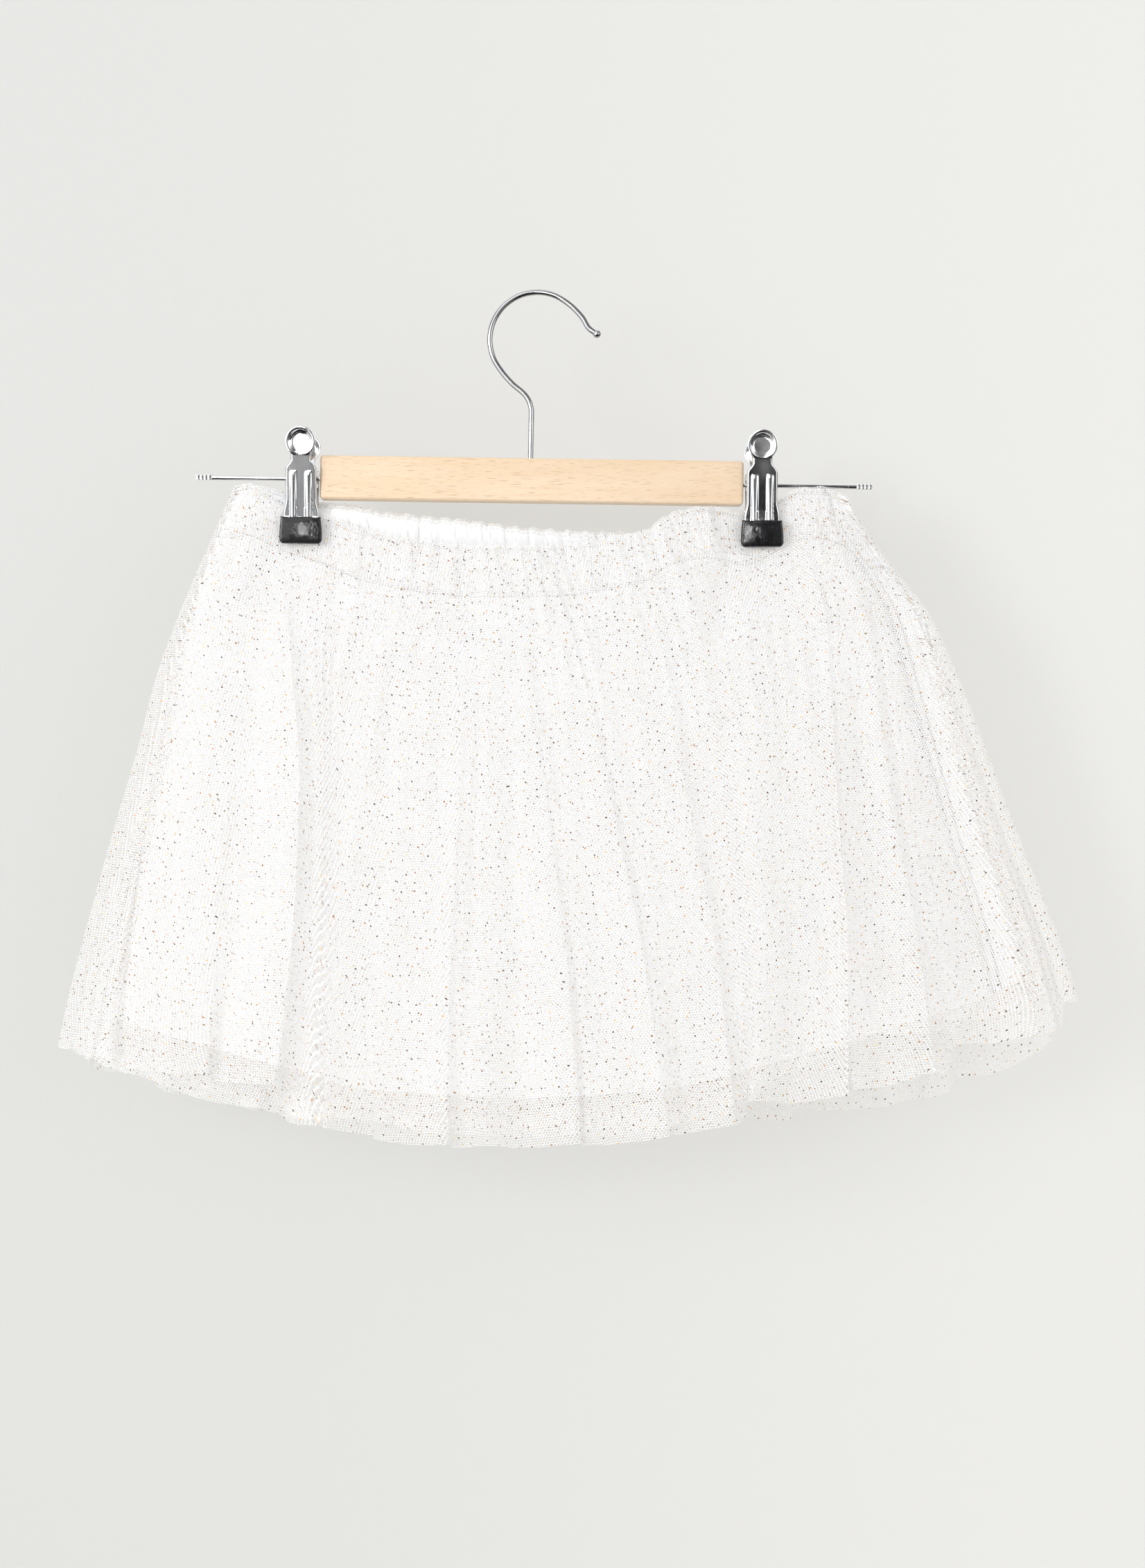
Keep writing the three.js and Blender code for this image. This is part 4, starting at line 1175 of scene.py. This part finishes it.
def bar_section(x, shrink, bore):
    """A ring round the bar's section at x: its rounded outline, or the rod's bore."""
    angles = (np.arange(64) + 0.5) * 2 * np.pi / 64
    across = np.cos(angles)
    up = np.sin(angles)
    if bore:
        y = BORE_RADIUS * across
        z = BORE_RADIUS * up + BAR_DROP - ROD_DROP
    else:
        corner = BAR_ROUND - 0.5 * shrink
        y = np.sign(across) * (BAR_DEPTH / 2 - shrink - corner) + corner * across
        z = np.sign(up) * (BAR_HEIGHT / 2 - shrink - corner) + corner * up
    return np.stack([0 * y + x, y, z], 1)


def wooden_bar():
    """The bar, its ends rounded over and bored for the rod."""
    turn = np.radians(np.linspace(0, 90, 8))
    half = BAR_LENGTH / 2
    stations = [(half, 0, True)]
    for angle in turn[::-1]:
        inward = BAR_END_ROUND * (1 - math.sin(angle))
        stations.append((half - inward, BAR_END_ROUND * (1 - math.cos(angle)), False))
    rings = [bar_section(-x, shrink, bore) for x, shrink, bore in stations]
    rings += [bar_section(x, shrink, bore) for x, shrink, bore in stations[::-1]]
    faces = grid_faces(len(rings), len(rings[0]), wrapped=True, looped=True, flipped=True)
    bar = new_mesh_object("wooden_bar", np.concatenate(rings), faces)
    smooth_by_angle(bar, 30)
    placed(bar, HANGER @ shift_by(BAR_X, 0, -BAR_DROP))
    return dress(bar, beech, "beech", "hanger_bar")


# ---- Backdrop, light and camera ----

STAGE_HALF = 3000.0
WALL_Y = 66.0
WALL_TOP = 2200.0
FLOOR_Z = -800.0
SKIRT_MIDDLE = (0, 0, -0.3)
CAMERA_PLACE = (0.0198, -1.257, -0.2822)


def board(name, corners, paint):
    """A flat sheet for the stage."""
    made = new_mesh_object(name, corners, [[0, 1, 2, 3]])
    made.data.materials.append(paint)
    return made


def backdrop():
    """A pale floor and a wall that glows as painted light, brighter towards the right, which
    softens the shadows on it. The wall hides from behind, from shadow and far mirror rays.
    """
    wall, tree, shader = new_material("wall_paint_and_glow")
    geometry = add(tree, "NewGeometry").outputs
    place = geometry["Position"]
    feed(shader, {
        "Base Color": (0.31, 0.315, 0.315, 1),
        "Roughness": 0.95,
        # painted light: the wall glows, more towards the right, softening the shadows cast on it
        "Emission Color": (0.80, 0.785, 0.745, 1),
        "Emission Strength": fade(tree, parts_of(tree, place)[0], -0.5, 0.5, 0.43, 0.56),
    })
    clear = add(tree, "BsdfTransparent").outputs[0]
    path = add(tree, "LightPath")
    reach = vector_calc(tree, "DISTANCE", place, (0, 0.066, -0.1), output=1)
    far = fade(tree, reach, 0.1, 0.4)
    unmirrored = calc(tree, "MULTIPLY", path.outputs["Is Glossy Ray"], far)
    hidden = calc(tree, "MAXIMUM", geometry["Backfacing"], path.outputs["Is Shadow Ray"])
    hidden = calc(tree, "MAXIMUM", hidden, unmirrored)
    seen = add(tree, "MixShader", {0: hidden, 1: shader.outputs[0], 2: clear})
    feed(tree.nodes["Material Output"], {"Surface": seen.outputs[0]})
    low = [(-STAGE_HALF, WALL_Y, FLOOR_Z), (STAGE_HALF, WALL_Y, FLOOR_Z)]
    high = [(STAGE_HALF, WALL_Y, WALL_TOP), (-STAGE_HALF, WALL_Y, WALL_TOP)]
    panel = board("wall", low + high, wall)

    paint, _, floor_shader = new_material("floor_paint")
    feed(floor_shader, {"Base Color": (0.80, 0.79, 0.77, 1), "Roughness": 0.9})
    signs = [(-1, -1), (1, -1), (1, 1), (-1, 1)]
    floor = board("floor", [(x * STAGE_HALF, y * STAGE_HALF, FLOOR_Z) for x, y in signs], paint)
    floor.visible_glossy = False


def area_light(name, place, size, power, colour):
    """A round soft lamp aimed at the skirt's middle."""
    data = bpy.data.lights.new(name, "AREA")
    data.shape = "DISK"
    data.size = size
    data.energy = power
    data.color = colour
    lamp = linked(name, data)
    lamp.location = place
    toward = Vector(SKIRT_MIDDLE) - Vector(place)
    lamp.rotation_euler = toward.to_track_quat("-Z", "Y").to_euler()


# What polished metal mirrors: direction, cosine of its half width, softness, brightness
SOFTBOXES = [
    ((-0.48, -0.77, 0.43), 0.845, 0.02, 1.5),
    ((-0.79, -0.59, -0.15), 0.83, 0.015, 1.5),
    ((0.7, -0.7, -0.05), 0.84, 0.02, 0.35),
    ((-0.3, -0.9, -0.3), 0.945, 0.025, 0.42),
    ((-0.15, 0.2, 0.96), 0.8, 0.03, 0.9),
    ((-0.086, -0.996, 0.0), 0.998, 0.001, 24.0),
]


def lighting():
    """Even light, softboxes that only polished metal mirrors, and three soft lamps."""
    world = bpy.data.worlds.new("studio")
    world.cycles.sampling_method = "NONE"
    world.use_nodes = True
    tree = world.node_tree
    direction = add(tree, "TexCoord").outputs["Generated"]
    up = parts_of(tree, direction)[2]
    even = fade(tree, up, -0.75, -0.2, 0.6, 1.0)
    mirrored = fade(tree, up, -0.1, 0.6, 0.03, 0.35)
    for toward, edge, soft, level in SOFTBOXES:
        aim = tuple(Vector(toward).normalized())
        near = vector_calc(tree, "DOT_PRODUCT", direction, aim, output=1)
        box = fade(tree, near, edge - soft, edge + soft)
        mirrored = calc(tree, "MULTIPLY_ADD", box, level, mirrored)
    glossy = add(tree, "LightPath").outputs["Is Glossy Ray"]
    sky = add(tree, "Mix", {0: glossy, 2: even, 3: mirrored}).outputs[0]
    feed(tree.nodes["Background"], {"Color": grey(tree, sky), "Strength": 0.95})
    bpy.context.scene.world = world
    area_light("key", (-1.6, -1.45, 0.2), 0.9, 21, (0.98, 0.99, 1.0))
    area_light("fill", (1.7, -1.2, 0.2), 1.6, 9, (1.0, 0.995, 0.985))
    area_light("behind", (0.5, 1.9, 0.5), 1.6, 28, (1.0, 0.99, 0.98))


def camera():
    data = bpy.data.cameras.new("camera")
    data.lens = 50
    data.sensor_width = 36
    made = linked("camera", data)
    made.location = CAMERA_PLACE
    made.rotation_euler = (math.pi / 2, 0, 0)
    bpy.context.scene.camera = made


# ---- The whole ----

camera()
backdrop()
lighting()
wooden_bar()
hook_wire()
hook_ball()
rod_bar()
clip_pieces()
outer, inner, lining, casing = cloth_pieces()

settings = bpy.context.scene.view_settings
settings.view_transform = "Standard"
settings.look = "None"
bpy.context.scene.cycles.transparent_max_bounces = 32
bpy.context.scene.cycles.diffuse_bounces = 8
